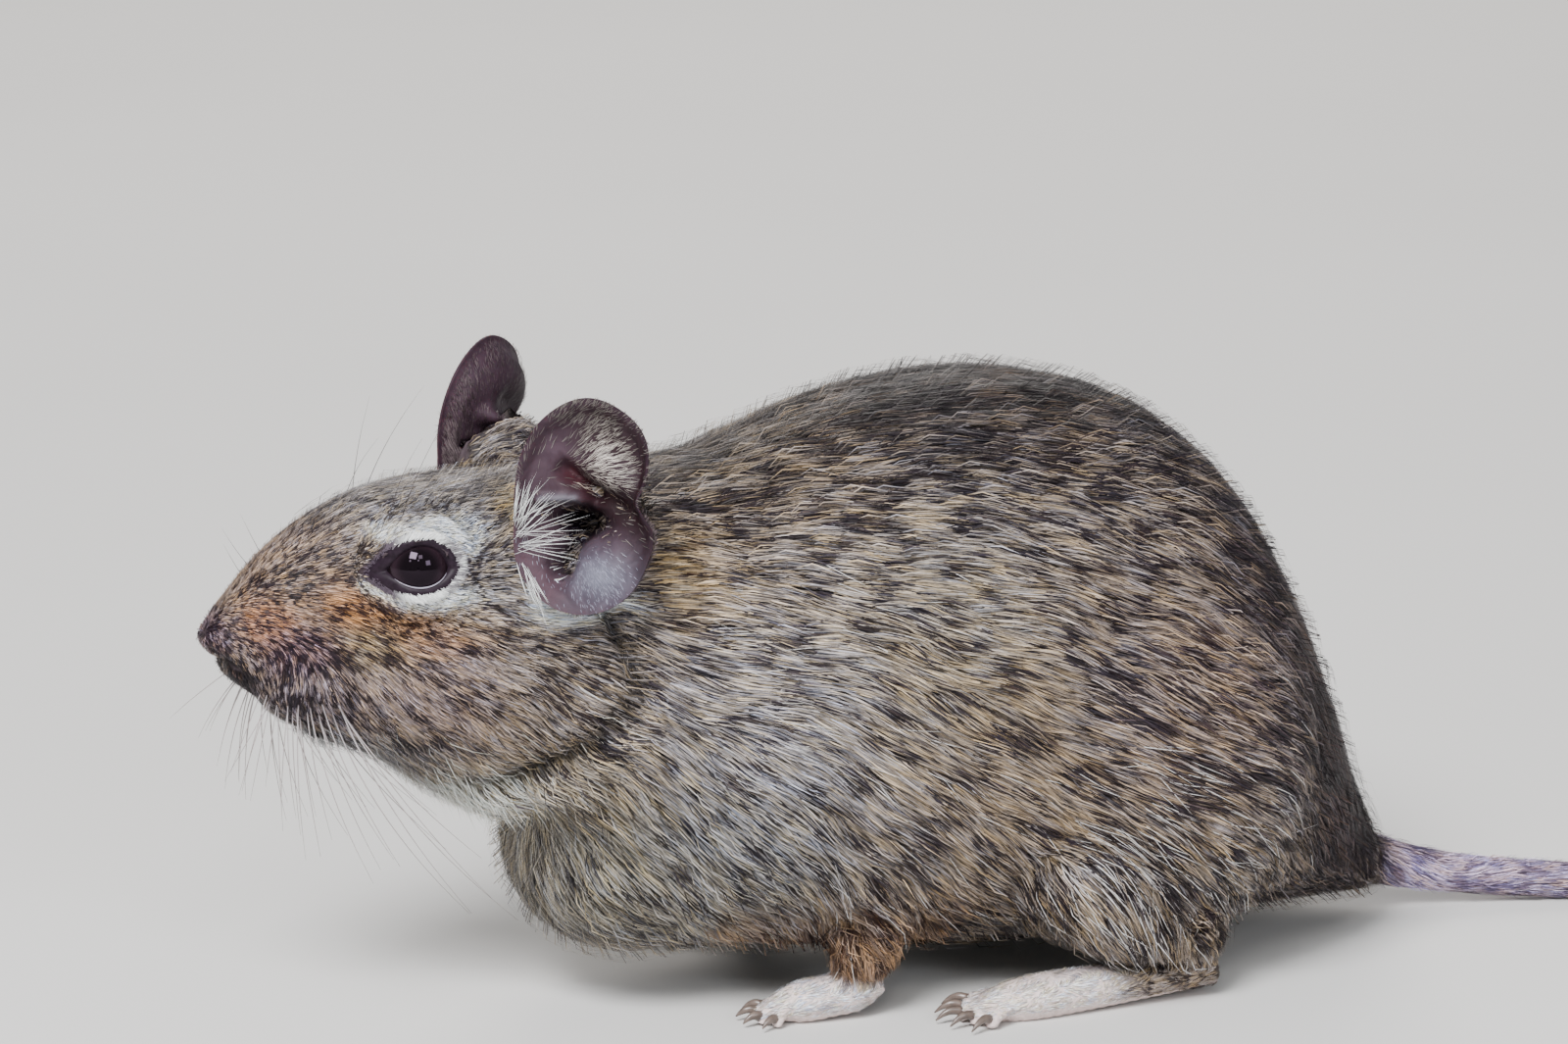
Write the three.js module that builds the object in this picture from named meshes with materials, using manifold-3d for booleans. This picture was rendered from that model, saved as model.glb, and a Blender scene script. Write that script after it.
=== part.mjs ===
// A degu at life size, crouching on all four feet with its head held low and its back arched, and
// its tufted tail laid on the ground behind it. It is modelled whole and parted with thin cuts.
// Millimetres, +Z up. The nose points to -X and the animal's left side to -Y.
// Places are measured from the nose tip along X, from the middle plane along Y and from the ground.
import * as THREE from "three";
import { ParametricGeometry } from "three/addons/geometries/ParametricGeometry.js";
import { mergeVertices } from "three/addons/utils/BufferGeometryUtils.js";
import Module from "manifold-3d";

const wasm = await Module();
wasm.setup();

// Driving dimensions
const GAP = 0.3; // between nodes that meet
const ORIGIN = new THREE.Vector3(132.6, 0, 0); // on the ground under the middle of the whole animal
const LEFT = -1;
const RIGHT = 1;
const SIDES = [LEFT, RIGHT];
const SIDE_NAME = { [LEFT]: "left", [RIGHT]: "right" };

// Cross-sections from front to back: [x, top, underside, half width, height of the widest point]
const TRUNK = [
  [28, 61, 31, 10, 46],
  [36, 64, 22.5, 15.2, 43],
  [44, 65, 12, 19, 38],
  [52, 65, 7, 22, 33],
  [60, 66, 5.6, 24.2, 31],
  [70, 69.5, 5.2, 26.4, 29.5],
  [80, 72.3, 4.9, 28, 28],
  [92, 73.8, 4.6, 29.4, 27],
  [104, 72.6, 4.5, 29.8, 26],
  [114, 69.3, 4.5, 29.2, 25],
  [122, 64.2, 4.5, 27.8, 23],
  [128, 57.8, 4.4, 25.4, 21],
  [133, 49.4, 4.2, 22.2, 19],
  [138, 38.4, 3.8, 17.8, 16],
  [142, 27.5, 3.6, 13.4, 13],
  [146, 16.8, 3.6, 8.2, 9.5],
  [150, 9, 3.9, 3.8, 7],
];
const TRUNK_CAPS = [6, 2.5]; // length of the rounded front and back ends
const TRUNK_FULLNESS = 2.15; // 2 is an ellipse, more is squarer

const HEAD = [
  [0, 50.4, 45.6, 3.2, 48],
  [3, 52.8, 43.2, 4.9, 47.4],
  [6, 56.2, 40.4, 6.4, 46.8],
  [9, 58.9, 38, 7.5, 46.4],
  [13, 61.5, 35.9, 8.5, 46.6],
  [18, 63.6, 33.4, 10, 47.6],
  [23, 64.6, 30, 12.1, 48.4],
  [29, 65, 25.8, 14.2, 48.6],
  [35, 64.9, 23.4, 15.4, 48.4],
  [42, 64.6, 22.6, 15.9, 47.5],
  [52, 63.6, 24, 14.5, 46],
];
const HEAD_CAPS = [2.6, 9];
const HEAD_FULLNESS = 2.3;
// Swellings of the head: [centre x, distance from the middle plane, z, reach, rise]
const HEAD_SWELLINGS = [
  [7.5, 6.2, 43.2, 4.4, 1.0], // whisker pad
  [13.5, 3.4, 36, 4, 0.8], // chin
  [26, 13, 41, 8, 1.3], // cheek
  [23.3, 10.5, 58, 7, 1.4], // orbit
  [39, 14, 58.5, 6.5, 3.4], // root of the ear
];

// Eye
const EYE = new THREE.Vector3(23.3, 9.3, 56.7);
const EYE_RADIUS = 4.3;
const LID_RADIUS = 5.2;
const EYE_LOOK = new THREE.Vector3(-0.28, 0.94, 0.16); // y is away from the middle plane
const EYE_OPENING = { front: 4.9, back: 4.3, upper: 3.1, lower: 3.0 };

// Mouth, nostrils
const MOUTH = [[-1, 43.4], [4.2, 41.9], [7.5, 40.2], [10.2, 38.2]]; // x and z of the line of the lips
const MOUTH_WIDTH = 0.6;
const LIP_DEPTH = 1.3;
const NOSTRIL = { x: 1.9, y: 2.9, z: 46.4, radii: [1.3, 1.0, 0.55] };

// Ear: the rim as [degrees from the back edge towards the top, distance from the middle of the cup]
const EAR_CENTRE = new THREE.Vector3(39.3, 20, 61.3);
const EAR_FACES = new THREE.Vector3(-0.6, 0.78, 0.14); // the way the cup opens
const EAR_LEAN = new THREE.Vector3(0.03, 0.1, 1); // from the middle of the cup to the top of the ear
const EAR_RIM = [
  [-146, 8.2], [-98, 8.9], [-53, 9.1], [-12, 8.7], [16, 8.1], [33, 8.6], [47, 11.5], [60, 14],
  [78, 15.6], [92, 16], [112, 14.3], [130, 11.9], [148, 9.6], [176, 8],
];
const EAR_THICKNESS = 1.1;
const EAR_PIT = { depth: 8, reach: 5 }; // the ear hole's funnel
const EAR_DISH = 1.7; // how far the blade is cupped inside its rim
const EAR_SOCKET_RISE = 4; // how far the cut for the ear reaches out of the head

// Legs. The shoulder, arm, haunch and shank blend into the trunk above the wrist and the ankle.
const SHOULDER = { at: [65, 16.5, 31], radii: [14.5, 10, 18], tilt: 0.25 };
const ARM = [
  [69, 18.5, 25, 7.5], [75, 20, 18.5, 5.6], [75.5, 19.8, 12, 4.3], [74, 19.2, 6, 3.5], [73.2, 19, 2, 3.2],
];
const HAUNCH = { at: [110, 18.5, 28], radii: [23, 14.5, 23.5], tilt: -0.2 };
const SHANK = [[94, 26, 20, 8], [103, 26.5, 14, 7], [111, 25.5, 8, 5], [114, 25, 3, 3.8]];
const FORE_LEG_CUT = { x: 70, z: 18, rx: 17.5, rz: 22, inner: 14.6 };
const HIND_LEG_CUT = { x: 108, z: 22, rx: 27, rz: 28, inner: 18 };
const WRIST_HEIGHT = 5.6;
const CHEST = { at: [51, 0, 21.5], radii: [16, 18.5, 16], tilt: 0.2 };

// Feet: the sole as [x, y, z, half width], its height, and the toes
const FORE_FOOT = {
  sole: [[75, 19, 2.6, 3.1], [71, 18.8, 2.4, 3.3], [67, 18.6, 2, 3.4]],
  height: 0.85, ankle: [73.4, 19, 3.3],
  toes: { from: [67.5, 18.6, 1.9], angles: [-34, -12, 9, 30], length: 6, radius: 1.15 },
  claw: { length: 2.4, radius: 0.55 },
};
const HIND_FOOT = {
  sole: [[117, 25, 2.6, 3.3], [106, 25.6, 2.3, 3.3], [93, 26.6, 2.1, 3.8]],
  height: 0.8, ankle: [113.6, 25, 3.8],
  toes: { from: [94, 26.5, 1.9], angles: [-32, -15, -1, 12, 27], length: 9.5, radius: 1.3 },
  claw: { length: 3.2, radius: 0.6 },
};

// Tail: its middle line with its radius, from inside the rump to the end of the flesh
const TAIL = [
  [140, 0, 12, 4.6], [149, 0, 7, 3.3], [160, -0.8, 4, 2.6], [176, -4.5, 2.35, 2.4], [196, -11.5, 2.1, 2.2],
  [216, -18, 1.95, 2.05], [236, -21, 1.8, 1.9], [252, -19, 1.65, 1.75],
];
const TAIL_ROOT = { point: [148.6, 0, 8.5], normal: [1, 0, -0.38] };
const TAIL_CUTS = [0.36, 0.62]; // where the tail is parted, as shares of its length
const BRUSH_START = 0.8;
// The brush: locks set round the last of the tail, from where it swells to past its tip
const BRUSH = {
  locks: 27, rootFrom: 0.81, rootTo: 0.99, sunk: 0.6, length: [13, 20], halfWidth: 1.4, flatness: 0.42,
  spread: 0.36, droop: 0.45, turn: 2.4,
};

const HEAD_PLANE = { point: [52, 0, 66], normal: [0.872, 0, -0.489] };
const NECK_PLANE = { point: [64, 0, 68], normal: [0.835, 0, -0.55] };

// A solid from a closed geometry
function solidOf(geometry) {
  const bare = geometry.clone();
  bare.deleteAttribute("normal");
  bare.deleteAttribute("uv");
  const merged = mergeVertices(bare, 1e-4);
  const index = merged.index.array;
  const kept = [];
  for (let i = 0; i < index.length; i += 3) {
    const [a, b, c] = index.slice(i, i + 3);
    if (a !== b && b !== c && c !== a) kept.push(a, b, c);
  }
  const build = (triangles) => new wasm.Manifold(new wasm.Mesh({
    numProp: 3, vertProperties: merged.attributes.position.array, triVerts: new Uint32Array(triangles),
  }));
  const made = build(kept);
  if (made.volume() > 0) return made;
  for (let i = 0; i < kept.length; i += 3) [kept[i + 1], kept[i + 2]] = [kept[i + 2], kept[i + 1]];
  return build(kept);
}

function geometryOf(solid) {
  const mesh = solid.getMesh();
  const geometry = new THREE.BufferGeometry();
  geometry.setAttribute("position", new THREE.BufferAttribute(new Float32Array(mesh.vertProperties), 3));
  geometry.setIndex(new THREE.BufferAttribute(new Uint32Array(mesh.triVerts), 1));
  const flat = geometry.toNonIndexed();
  flat.computeVertexNormals();
  return flat;
}

const union = (...solids) => solids.reduce((all, next) => all.add(next));
const largest = (solid) => solid.decompose().reduce((a, b) => (a.volume() > b.volume() ? a : b));

// A column of a table at x, by a smooth curve through its rows
function along(table, column, x) {
  const last = table.length - 1;
  let i = 0;
  while (i < last - 1 && x > table[i + 1][0]) i += 1;
  const slope = (k) => {
    const a = table[Math.max(k - 1, 0)];
    const b = table[Math.min(k + 1, last)];
    return (b[column] - a[column]) / (b[0] - a[0]);
  };
  const [p, q] = [table[i], table[i + 1]];
  const span = q[0] - p[0];
  const t = THREE.MathUtils.clamp((x - p[0]) / span, 0, 1);
  const [t2, t3] = [t * t, t * t * t];
  return (2 * t3 - 3 * t2 + 1) * p[column] + (t3 - 2 * t2 + t) * span * slope(i)
    + (3 * t2 - 2 * t3) * q[column] + (t3 - t2) * span * slope(i + 1);
}

// The share of its full size that a section has near a rounded end
function roundEnd(distance, cap) {
  const share = THREE.MathUtils.clamp(distance / cap, 0, 1);
  return Math.sqrt(1 - (1 - share) ** 2);
}

const signedPower = (value, power) => Math.sign(value) * Math.abs(value) ** power;

// A body from a table of cross-sections, with its swellings on both sides, grown all over by grow
function bodyFrom(table, caps, fullness, swellings, slices, stacks, grow = 0) {
  const [from, to] = [table[0][0], table[table.length - 1][0]];
  return solidOf(new ParametricGeometry((u, v, target) => {
    const x = from + (to - from) * (1 - Math.cos(Math.PI * v)) / 2;
    const [top, under, half, wide] = [1, 2, 3, 4].map((column) => along(table, column, x));
    const size = Math.min(roundEnd(x - from, caps[0]), roundEnd(to - x, caps[1]));
    const angle = 2 * Math.PI * u;
    const across = signedPower(Math.cos(angle), 2 / fullness);
    const upward = signedPower(Math.sin(angle), 2 / fullness);
    const reach = upward > 0 ? top - wide : wide - under;
    target.set(x, (half + grow) * size * across, wide + (reach + grow) * size * upward);
    for (const [cx, cy, cz, spread, rise] of swellings) {
      for (const side of SIDES) {
        const away = (target.x - cx) ** 2 + (target.y - side * cy) ** 2 + (target.z - cz) ** 2;
        const push = rise * size * Math.exp(-away / spread ** 2);
        const out = Math.hypot(target.y, target.z - wide) || 1;
        target.y += push * target.y / out;
        target.z += push * (target.z - wide) / out;
      }
    }
  }, slices, stacks));
}

// A limb round a curve through points that each hold their radius, with round ends
function limb(points, slices, stacks, { height = 1, up = new THREE.Vector3(0, 0, 1) } = {}) {
  const curve = new THREE.CatmullRomCurve3(points.map(([x, y, z]) => new THREE.Vector3(x, y, z)), false, "centripetal");
  const radii = points.map((point, i) => [i / (points.length - 1), point[3]]);
  const length = curve.getLength();
  const share = (v) => (1 - Math.cos(Math.PI * v)) / 2;
  const ahead = new THREE.Vector3(1, 0, 0);
  const side = new THREE.Vector3();
  const over = new THREE.Vector3();
  return solidOf(new ParametricGeometry((u, v, target) => {
    const t = share(v);
    const radius = along(radii, 1, t);
    const size = radius * Math.min(roundEnd(t * length, points[0][3]), roundEnd((1 - t) * length, points.at(-1)[3]));
    const tangent = curve.getTangent(t);
    side.crossVectors(Math.abs(tangent.dot(up)) > 0.9 ? ahead : up, tangent).normalize();
    over.crossVectors(tangent, side);
    const angle = 2 * Math.PI * u;
    curve.getPoint(t, target);
    target.addScaledVector(side, size * Math.cos(angle)).addScaledVector(over, height * size * Math.sin(angle));
  }, slices, stacks));
}

function ellipsoid({ at, radii, tilt = 0 }, slices = 16, stacks = 10) {
  const geometry = new THREE.SphereGeometry(1, slices, stacks);
  geometry.rotateX(Math.PI / 2).scale(...radii).rotateY(tilt).translate(...at);
  return solidOf(geometry);
}

const mirrored = (points, side) => points.map(([x, y, z, ...rest]) => [x, side * y, z, ...rest]);
const sided = (form, side) => ({ ...form, at: [form.at[0], side * form.at[1], form.at[2]] });

// Parts a solid with a plane into what lies behind it and what lies ahead of its normal
function partByPlane(solid, { point, normal }) {
  const unit = new THREE.Vector3(...normal).normalize();
  const offset = unit.dot(new THREE.Vector3(...point));
  const n = unit.toArray();
  const back = n.map((value) => -value);
  return [solid.trimByPlane(back, GAP / 2 - offset), solid.trimByPlane(n, offset + GAP / 2)];
}

// An upright elliptic prism on one side of the animal, from the inner plane outwards
function legPrism({ x, z, rx, rz, inner }, side, grow) {
  const outline = new THREE.Shape().absellipse(x, z, rx + grow, rz + grow, 0, 2 * Math.PI);
  const depth = 60;
  const geometry = new THREE.ExtrudeGeometry(outline, { depth, bevelEnabled: false, curveSegments: 12 });
  geometry.rotateX(Math.PI / 2).translate(0, side === LEFT ? grow - inner : depth + inner - grow, 0);
  return solidOf(geometry);
}

function partLeg(solid, cut, side) {
  const leg = solid.intersect(legPrism(cut, side, -GAP / 2));
  return [largest(leg.trimByPlane([0, 0, 1], WRIST_HEIGHT + GAP)), solid.subtract(legPrism(cut, side, GAP / 2))];
}

// A foot: sole, ankle, toes and claws joined, flat below and cut level at the top
function foot({ sole, height, ankle, toes, claw }, side) {
  const [x, y, z] = toes.from;
  const digits = toes.angles.flatMap((degrees) => {
    const angle = THREE.MathUtils.degToRad(degrees);
    const reach = toes.length * (1 - 0.25 * Math.abs(angle));
    const ahead = (distance, rise) => [x - distance * Math.cos(angle), y + distance * Math.sin(angle), rise];
    const r = toes.radius;
    const tip = reach + claw.length;
    return [
      limb(mirrored([[...ahead(0, z), r], [...ahead(reach * 0.55, z * 1.05), r], [...ahead(reach, r * 0.85), r * 0.9]], side), 6, 5),
      limb(mirrored([[...ahead(reach - 1.2, r * 1.1), claw.radius], [...ahead(reach + 0.8, r * 1.1), claw.radius * 0.9],
        [...ahead(tip, 0.35), 0.22]], side), 4, 4),
    ];
  });
  const stub = limb(mirrored([[ankle[0] + 1, ankle[1], 1, ankle[2]], [ankle[0], ankle[1], 9, ankle[2]]], side), 10, 3);
  const whole = union(limb(mirrored(sole, side), 10, 7, { height }), stub, ...digits);
  return largest(whole.trimByPlane([0, 0, 1], 0).trimByPlane([0, 0, -1], -WRIST_HEIGHT));
}

// The frame of an eye or ear on one side: right, up and out as a matrix
function facing(out, lean, side) {
  const normal = new THREE.Vector3(out.x, side * out.y, out.z).normalize();
  const up = new THREE.Vector3(lean.x, side * lean.y, lean.z);
  up.addScaledVector(normal, -up.dot(normal)).normalize();
  const back = new THREE.Vector3().crossVectors(up, normal).multiplyScalar(side === LEFT ? 1 : -1);
  return { back, up, normal };
}

// The almond between the lids, cut outwards from inside the eye
function eyeOpening(side) {
  const { front, back, upper, lower } = EYE_OPENING;
  const almond = new THREE.Shape();
  almond.moveTo(-front, -0.5);
  almond.bezierCurveTo(-front * 0.5, upper * 1.25, back * 0.55, upper * 1.4, back, -0.3);
  almond.bezierCurveTo(back * 0.6, -lower * 1.25, -front * 0.35, -lower * 1.35, -front, -0.5);
  const frame = facing(EYE_LOOK, new THREE.Vector3(0, 0, 1), side);
  const geometry = new THREE.ExtrudeGeometry(almond, { depth: 9, bevelEnabled: false, curveSegments: 7 });
  geometry.applyMatrix4(new THREE.Matrix4().makeBasis(frame.back, frame.up, frame.normal));
  return solidOf(geometry.translate(EYE.x, side * EYE.y, EYE.z));
}

const eyeBall = (side, radius) => ellipsoid({ at: [EYE.x, side * EYE.y, EYE.z], radii: [radius, radius, radius] }, 18, 12);

// Distance of the ear's rim from the middle of its cup
const EAR_ROUND = [...EAR_RIM.slice(-2).map(([a, r]) => [a - 360, r]), ...EAR_RIM, ...EAR_RIM.slice(0, 2).map(([a, r]) => [a + 360, r])];
const rimDistance = (degrees) => along(EAR_ROUND, 1, degrees);

// The ear's shell, or with a rise the room it takes in the head
function earShell(side, { grow = 0, rise = null, slices = 24, stacks = 16 } = {}) {
  const { back, up, normal } = facing(EAR_FACES, EAR_LEAN, side);
  const centre = new THREE.Vector3(EAR_CENTRE.x, side * EAR_CENTRE.y, EAR_CENTRE.z);
  return solidOf(new ParametricGeometry((u, v, target) => {
    const degrees = -180 + 360 * u;
    const rim = rimDistance(degrees) + grow;
    const front = v <= 0.5;
    const share = 1 - Math.abs(2 * v - 1);
    const distance = rim * Math.sin(share * Math.PI / 2);
    const hollow = EAR_PIT.depth * Math.exp(-((distance / EAR_PIT.reach) ** 2)) + EAR_DISH * (1 - (distance / rim) ** 2);
    const depth = front && rise !== null ? -rise : front ? hollow : hollow + EAR_THICKNESS + grow;
    const angle = THREE.MathUtils.degToRad(degrees);
    target.copy(centre).addScaledVector(back, distance * Math.cos(angle));
    target.addScaledVector(up, distance * Math.sin(angle)).addScaledVector(normal, -depth);
  }, slices, stacks));
}

// The line of the mouth as a thin slot through the muzzle, kept to the depth of the lips
function mouthSlot() {
  const upper = new THREE.SplineCurve(MOUTH.map(([x, z]) => new THREE.Vector2(x, z + MOUTH_WIDTH / 2))).getPoints(10);
  const lower = new THREE.SplineCurve(MOUTH.map(([x, z]) => new THREE.Vector2(x, z - MOUTH_WIDTH / 2))).getPoints(10);
  const width = 30;
  const geometry = new THREE.ExtrudeGeometry(new THREE.Shape([...upper, ...lower.reverse()]), { depth: width, bevelEnabled: false });
  return solidOf(geometry.rotateX(Math.PI / 2).translate(0, width / 2, 0)).subtract(headForm(-LIP_DEPTH, 14, 16));
}

function headForm(grow = 0, slices = 30, stacks = 26) {
  return bodyFrom(HEAD, HEAD_CAPS, HEAD_FULLNESS, HEAD_SWELLINGS, slices, stacks, grow);
}

function nostril(side) {
  const geometry = new THREE.SphereGeometry(1, 10, 8).scale(...NOSTRIL.radii).rotateZ(side * 0.5).rotateY(-0.5);
  return solidOf(geometry.translate(NOSTRIL.x, side * NOSTRIL.y, NOSTRIL.z));
}

function finishHead(flesh) {
  let head = union(flesh, ...SIDES.map((side) => eyeBall(side, LID_RADIUS)));
  for (const side of SIDES) {
    head = head.subtract(eyeOpening(side)).subtract(eyeBall(side, EYE_RADIUS + GAP)).subtract(nostril(side));
  }
  return largest(head.subtract(mouthSlot()));
}

// The flesh in one piece, before it is parted
let flesh = union(
  bodyFrom(TRUNK, TRUNK_CAPS, TRUNK_FULLNESS, [], 28, 26),
  headForm(),
  ellipsoid(CHEST),
  ...SIDES.flatMap((side) => [
    ellipsoid(sided(SHOULDER, side)),
    limb(mirrored(ARM, side), 12, 11),
    ellipsoid(sided(HAUNCH, side), 18, 12),
    limb(mirrored(SHANK, side), 12, 10),
  ]),
  limb(TAIL, 10, 26),
).trimByPlane([0, 0, 1], 0);

const parts = {};
let tail;
[flesh, tail] = partByPlane(flesh, TAIL_ROOT);
for (const side of SIDES) {
  const name = SIDE_NAME[side];
  [parts[`fore_leg_${name}`], flesh] = partLeg(flesh, FORE_LEG_CUT, side);
  [parts[`hind_leg_${name}`], flesh] = partLeg(flesh, HIND_LEG_CUT, side);
  parts[`fore_foot_${name}`] = foot(FORE_FOOT, side);
  parts[`hind_foot_${name}`] = foot(HIND_FOOT, side);
  parts[`eye_${name}`] = eyeBall(side, EYE_RADIUS);
  parts[`ear_${name}`] = earShell(side);
  flesh = flesh.subtract(earShell(side, { grow: GAP, rise: EAR_SOCKET_RISE }));
}
let [head, body] = partByPlane(flesh, HEAD_PLANE);
[parts.neck, parts.torso] = partByPlane(body, NECK_PLANE).map(largest);
parts.head = finishHead(head);

// The tail in lengths, and its brush
const tailCurve = new THREE.CatmullRomCurve3(TAIL.map(([x, y, z]) => new THREE.Vector3(x, y, z)), false, "centripetal");
const tailPlane = (share) => ({ point: tailCurve.getPointAt(share).toArray(), normal: tailCurve.getTangentAt(share).toArray() });
[...TAIL_CUTS, BRUSH_START].forEach((share, i) => {
  const [length, rest] = partByPlane(tail, tailPlane(share));
  parts[`tail_${i + 1}`] = largest(length);
  tail = rest;
});

// A lock of the brush: a flat tapered strand that leaves the tail at a low angle and bends back along it
function brushLock(i) {
  const { locks, rootFrom, rootTo, sunk, length, halfWidth, flatness, spread, droop, turn } = BRUSH;
  const share = i / (locks - 1);
  const at = THREE.MathUtils.lerp(rootFrom, rootTo, share);
  const along = tailCurve.getTangentAt(at);
  const side = new THREE.Vector3(0, 0, 1).cross(along).normalize();
  const over = along.clone().cross(side);
  const out = side.clone().multiplyScalar(Math.cos(turn * i)).addScaledVector(over, Math.sin(turn * i));
  const reach = THREE.MathUtils.lerp(length[0], length[1], (i * 0.618) % 1) * (1 - 0.2 * share);
  const root = tailCurve.getPointAt(at).addScaledVector(out, sunk);
  const strand = [0, 0.35, 0.7, 1].map((t) => {
    const lift = spread * reach * (t - droop * t * t);
    const point = root.clone().addScaledVector(along, reach * t).addScaledVector(out, lift);
    const radius = halfWidth * (1 - 0.8 * t) * (t === 0 ? 0.7 : 1);
    return [point.x, point.y, Math.max(point.z, radius * flatness), radius];
  });
  return limb(strand, 4, 5, { height: flatness, up: out });
}

const strands = Array.from({ length: BRUSH.locks }, (_, i) => brushLock(i));
parts.tail_brush = largest(union(tail, ...strands).trimByPlane([0, 0, 1], 0));

const coat = new THREE.MeshStandardMaterial({ color: 0x8a7d6b, roughness: 0.9 });
const earSkin = new THREE.MeshStandardMaterial({ color: 0x5d5058, roughness: 0.7 });
const paleFoot = new THREE.MeshStandardMaterial({ color: 0xb9aaa2, roughness: 0.8 });
const tailCoat = new THREE.MeshStandardMaterial({ color: 0x4f4640, roughness: 0.9 });
const brushCoat = new THREE.MeshStandardMaterial({ color: 0x1d1a1a, roughness: 0.9 });
const wetEye = new THREE.MeshStandardMaterial({ color: 0x0b090b, roughness: 0.08 });

function finishOf(name) {
  if (name.startsWith("eye")) return wetEye;
  if (name.startsWith("ear")) return earSkin;
  if (name.includes("foot")) return paleFoot;
  if (name === "tail_brush") return brushCoat;
  return name.startsWith("tail") ? tailCoat : coat;
}

const degu = new THREE.Group();
degu.position.copy(ORIGIN).negate();
for (const [name, solid] of Object.entries(parts)) {
  const mesh = new THREE.Mesh(geometryOf(solid), finishOf(name));
  mesh.name = name;
  degu.add(mesh);
}

export default degu;
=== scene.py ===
"""A degu at life size: one skin over the whole body, a coat of fine blades, eyes, ears, claws and whiskers.

Shapes are worked out in millimetres from the nose tip (x back, y to the animal's right, z up from the
ground), and turned into the frame's metres when a mesh is made.
"""
import math

import bmesh
import bpy
import numpy as np
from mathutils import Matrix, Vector
from mathutils.bvhtree import BVHTree


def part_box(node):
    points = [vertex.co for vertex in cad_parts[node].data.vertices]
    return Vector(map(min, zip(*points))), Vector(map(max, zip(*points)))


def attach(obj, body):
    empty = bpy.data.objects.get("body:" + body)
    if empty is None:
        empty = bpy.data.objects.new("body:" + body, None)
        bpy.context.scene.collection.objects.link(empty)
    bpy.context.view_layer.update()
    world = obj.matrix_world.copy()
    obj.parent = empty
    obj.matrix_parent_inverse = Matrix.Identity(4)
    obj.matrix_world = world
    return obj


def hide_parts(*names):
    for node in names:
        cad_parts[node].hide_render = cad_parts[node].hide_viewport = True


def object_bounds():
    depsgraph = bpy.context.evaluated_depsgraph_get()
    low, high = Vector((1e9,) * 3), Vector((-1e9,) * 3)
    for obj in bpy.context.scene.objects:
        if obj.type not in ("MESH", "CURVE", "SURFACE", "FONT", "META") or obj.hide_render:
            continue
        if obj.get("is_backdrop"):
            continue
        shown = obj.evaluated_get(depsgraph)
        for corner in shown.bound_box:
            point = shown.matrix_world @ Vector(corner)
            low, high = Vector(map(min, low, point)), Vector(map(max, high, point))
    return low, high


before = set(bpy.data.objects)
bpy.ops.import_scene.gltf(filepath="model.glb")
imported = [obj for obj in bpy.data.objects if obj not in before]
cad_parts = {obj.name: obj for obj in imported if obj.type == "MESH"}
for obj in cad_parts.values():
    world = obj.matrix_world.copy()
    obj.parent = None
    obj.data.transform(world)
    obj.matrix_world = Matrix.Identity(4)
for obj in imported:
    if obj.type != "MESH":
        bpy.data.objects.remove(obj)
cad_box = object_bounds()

MM = 0.001
NOSE = np.array([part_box("head")[0].x, 0.0, 0.0])  # the frame's place of the nose tip, on the ground
SIDES = {"left": -1, "right": 1}
UP = np.array([0.0, 0.0, 1.0])

# Camera, as found from the photograph
CAMERA_AT = (-169.0, -661.1, 218.5)
CAMERA_AZIMUTH = -20.0
CAMERA_ELEVATION = 13.0
CAMERA_LENS = 138.6
SENSOR = 36.0

# Skin
FLESH = [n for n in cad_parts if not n.startswith(("eye", "ear", "tail_brush")) and "foot" not in n]
FOOT_NODES = [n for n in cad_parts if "foot" in n]
SKIN_VOXEL = 0.85
FOOT_VOXEL = 0.42
CLOSE_GAP = 0.22  # grown before the remesh, so that the cuts between nodes close
FINER_FACE = (34.0, 14.0)  # the skin is cut finer in front of each of these
LOWEST_SKIN = 0.02
FAR = 99.0
NECK_FOLD = [(43.5, 51), (46.4, 44), (45.3, 40.2), (41.1, 35.7), (37.2, 32.9), (33.3, 30.7), (28, 29.6)]
LIP_LINE = [(0.5, 43.6), (4.2, 41.9), (7.5, 40.2), (10.6, 38.0), (11.6, 36.8)]
NOSTRIL = ((0.8, 1.6, 46.8), (4.2, 3.9, 45.0))
FACE_BUMPS = [
    # height, centre, reach: the nose, and then three rows of whisker pads
    (0.7, (0.8, 1.0, 48.0), (2.0, 2.6, 1.3)),
    (-0.9, (1.8, 0, 45.2), (1.8, 3.4, 0.8)),
    (0.3, (2.4, 3.4, 44.2), (1.5, 1.2, 0.8)),
    (-0.3, (3.9, 4.0, 47.4), (1.0, 1.2, 1.6)),
    (0.5, (13, 8.5, 43), (2.6, 4, 2.2)),
    (0.45, (9, 8, 41.5), (2.6, 4, 2.2)),
    (0.4, (6, 6.5, 43.5), (2.6, 4, 2.2)),
]

# Coat, by place
COAT_DEPTH = {"body": 2.0, "head": 1.0, "muzzle": 0.35, "foot": 0.15, "tail": 0.55}
HAIR_LENGTH = {"body": 6.0, "head": 3.0, "muzzle": 1.4, "foot": 1.4, "tail": 3.2}
HAIR_DENSITY = {"body": 12.4, "head": 35, "muzzle": 56, "foot": 13.0, "tail": 17}
TUFT = {"face": 0.52, "body": 0.95, "lock": 2.3}  # how far apart the middles of tufts lie
BLADES_PER_PIECE = 62000
TAIL_START = 150
SEEDS = {"coat": 7, "feet": 8, "brush": 11, "long": 13, "left": 17, "right": 18, "whiskers": 23, "lids": 29}

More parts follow.
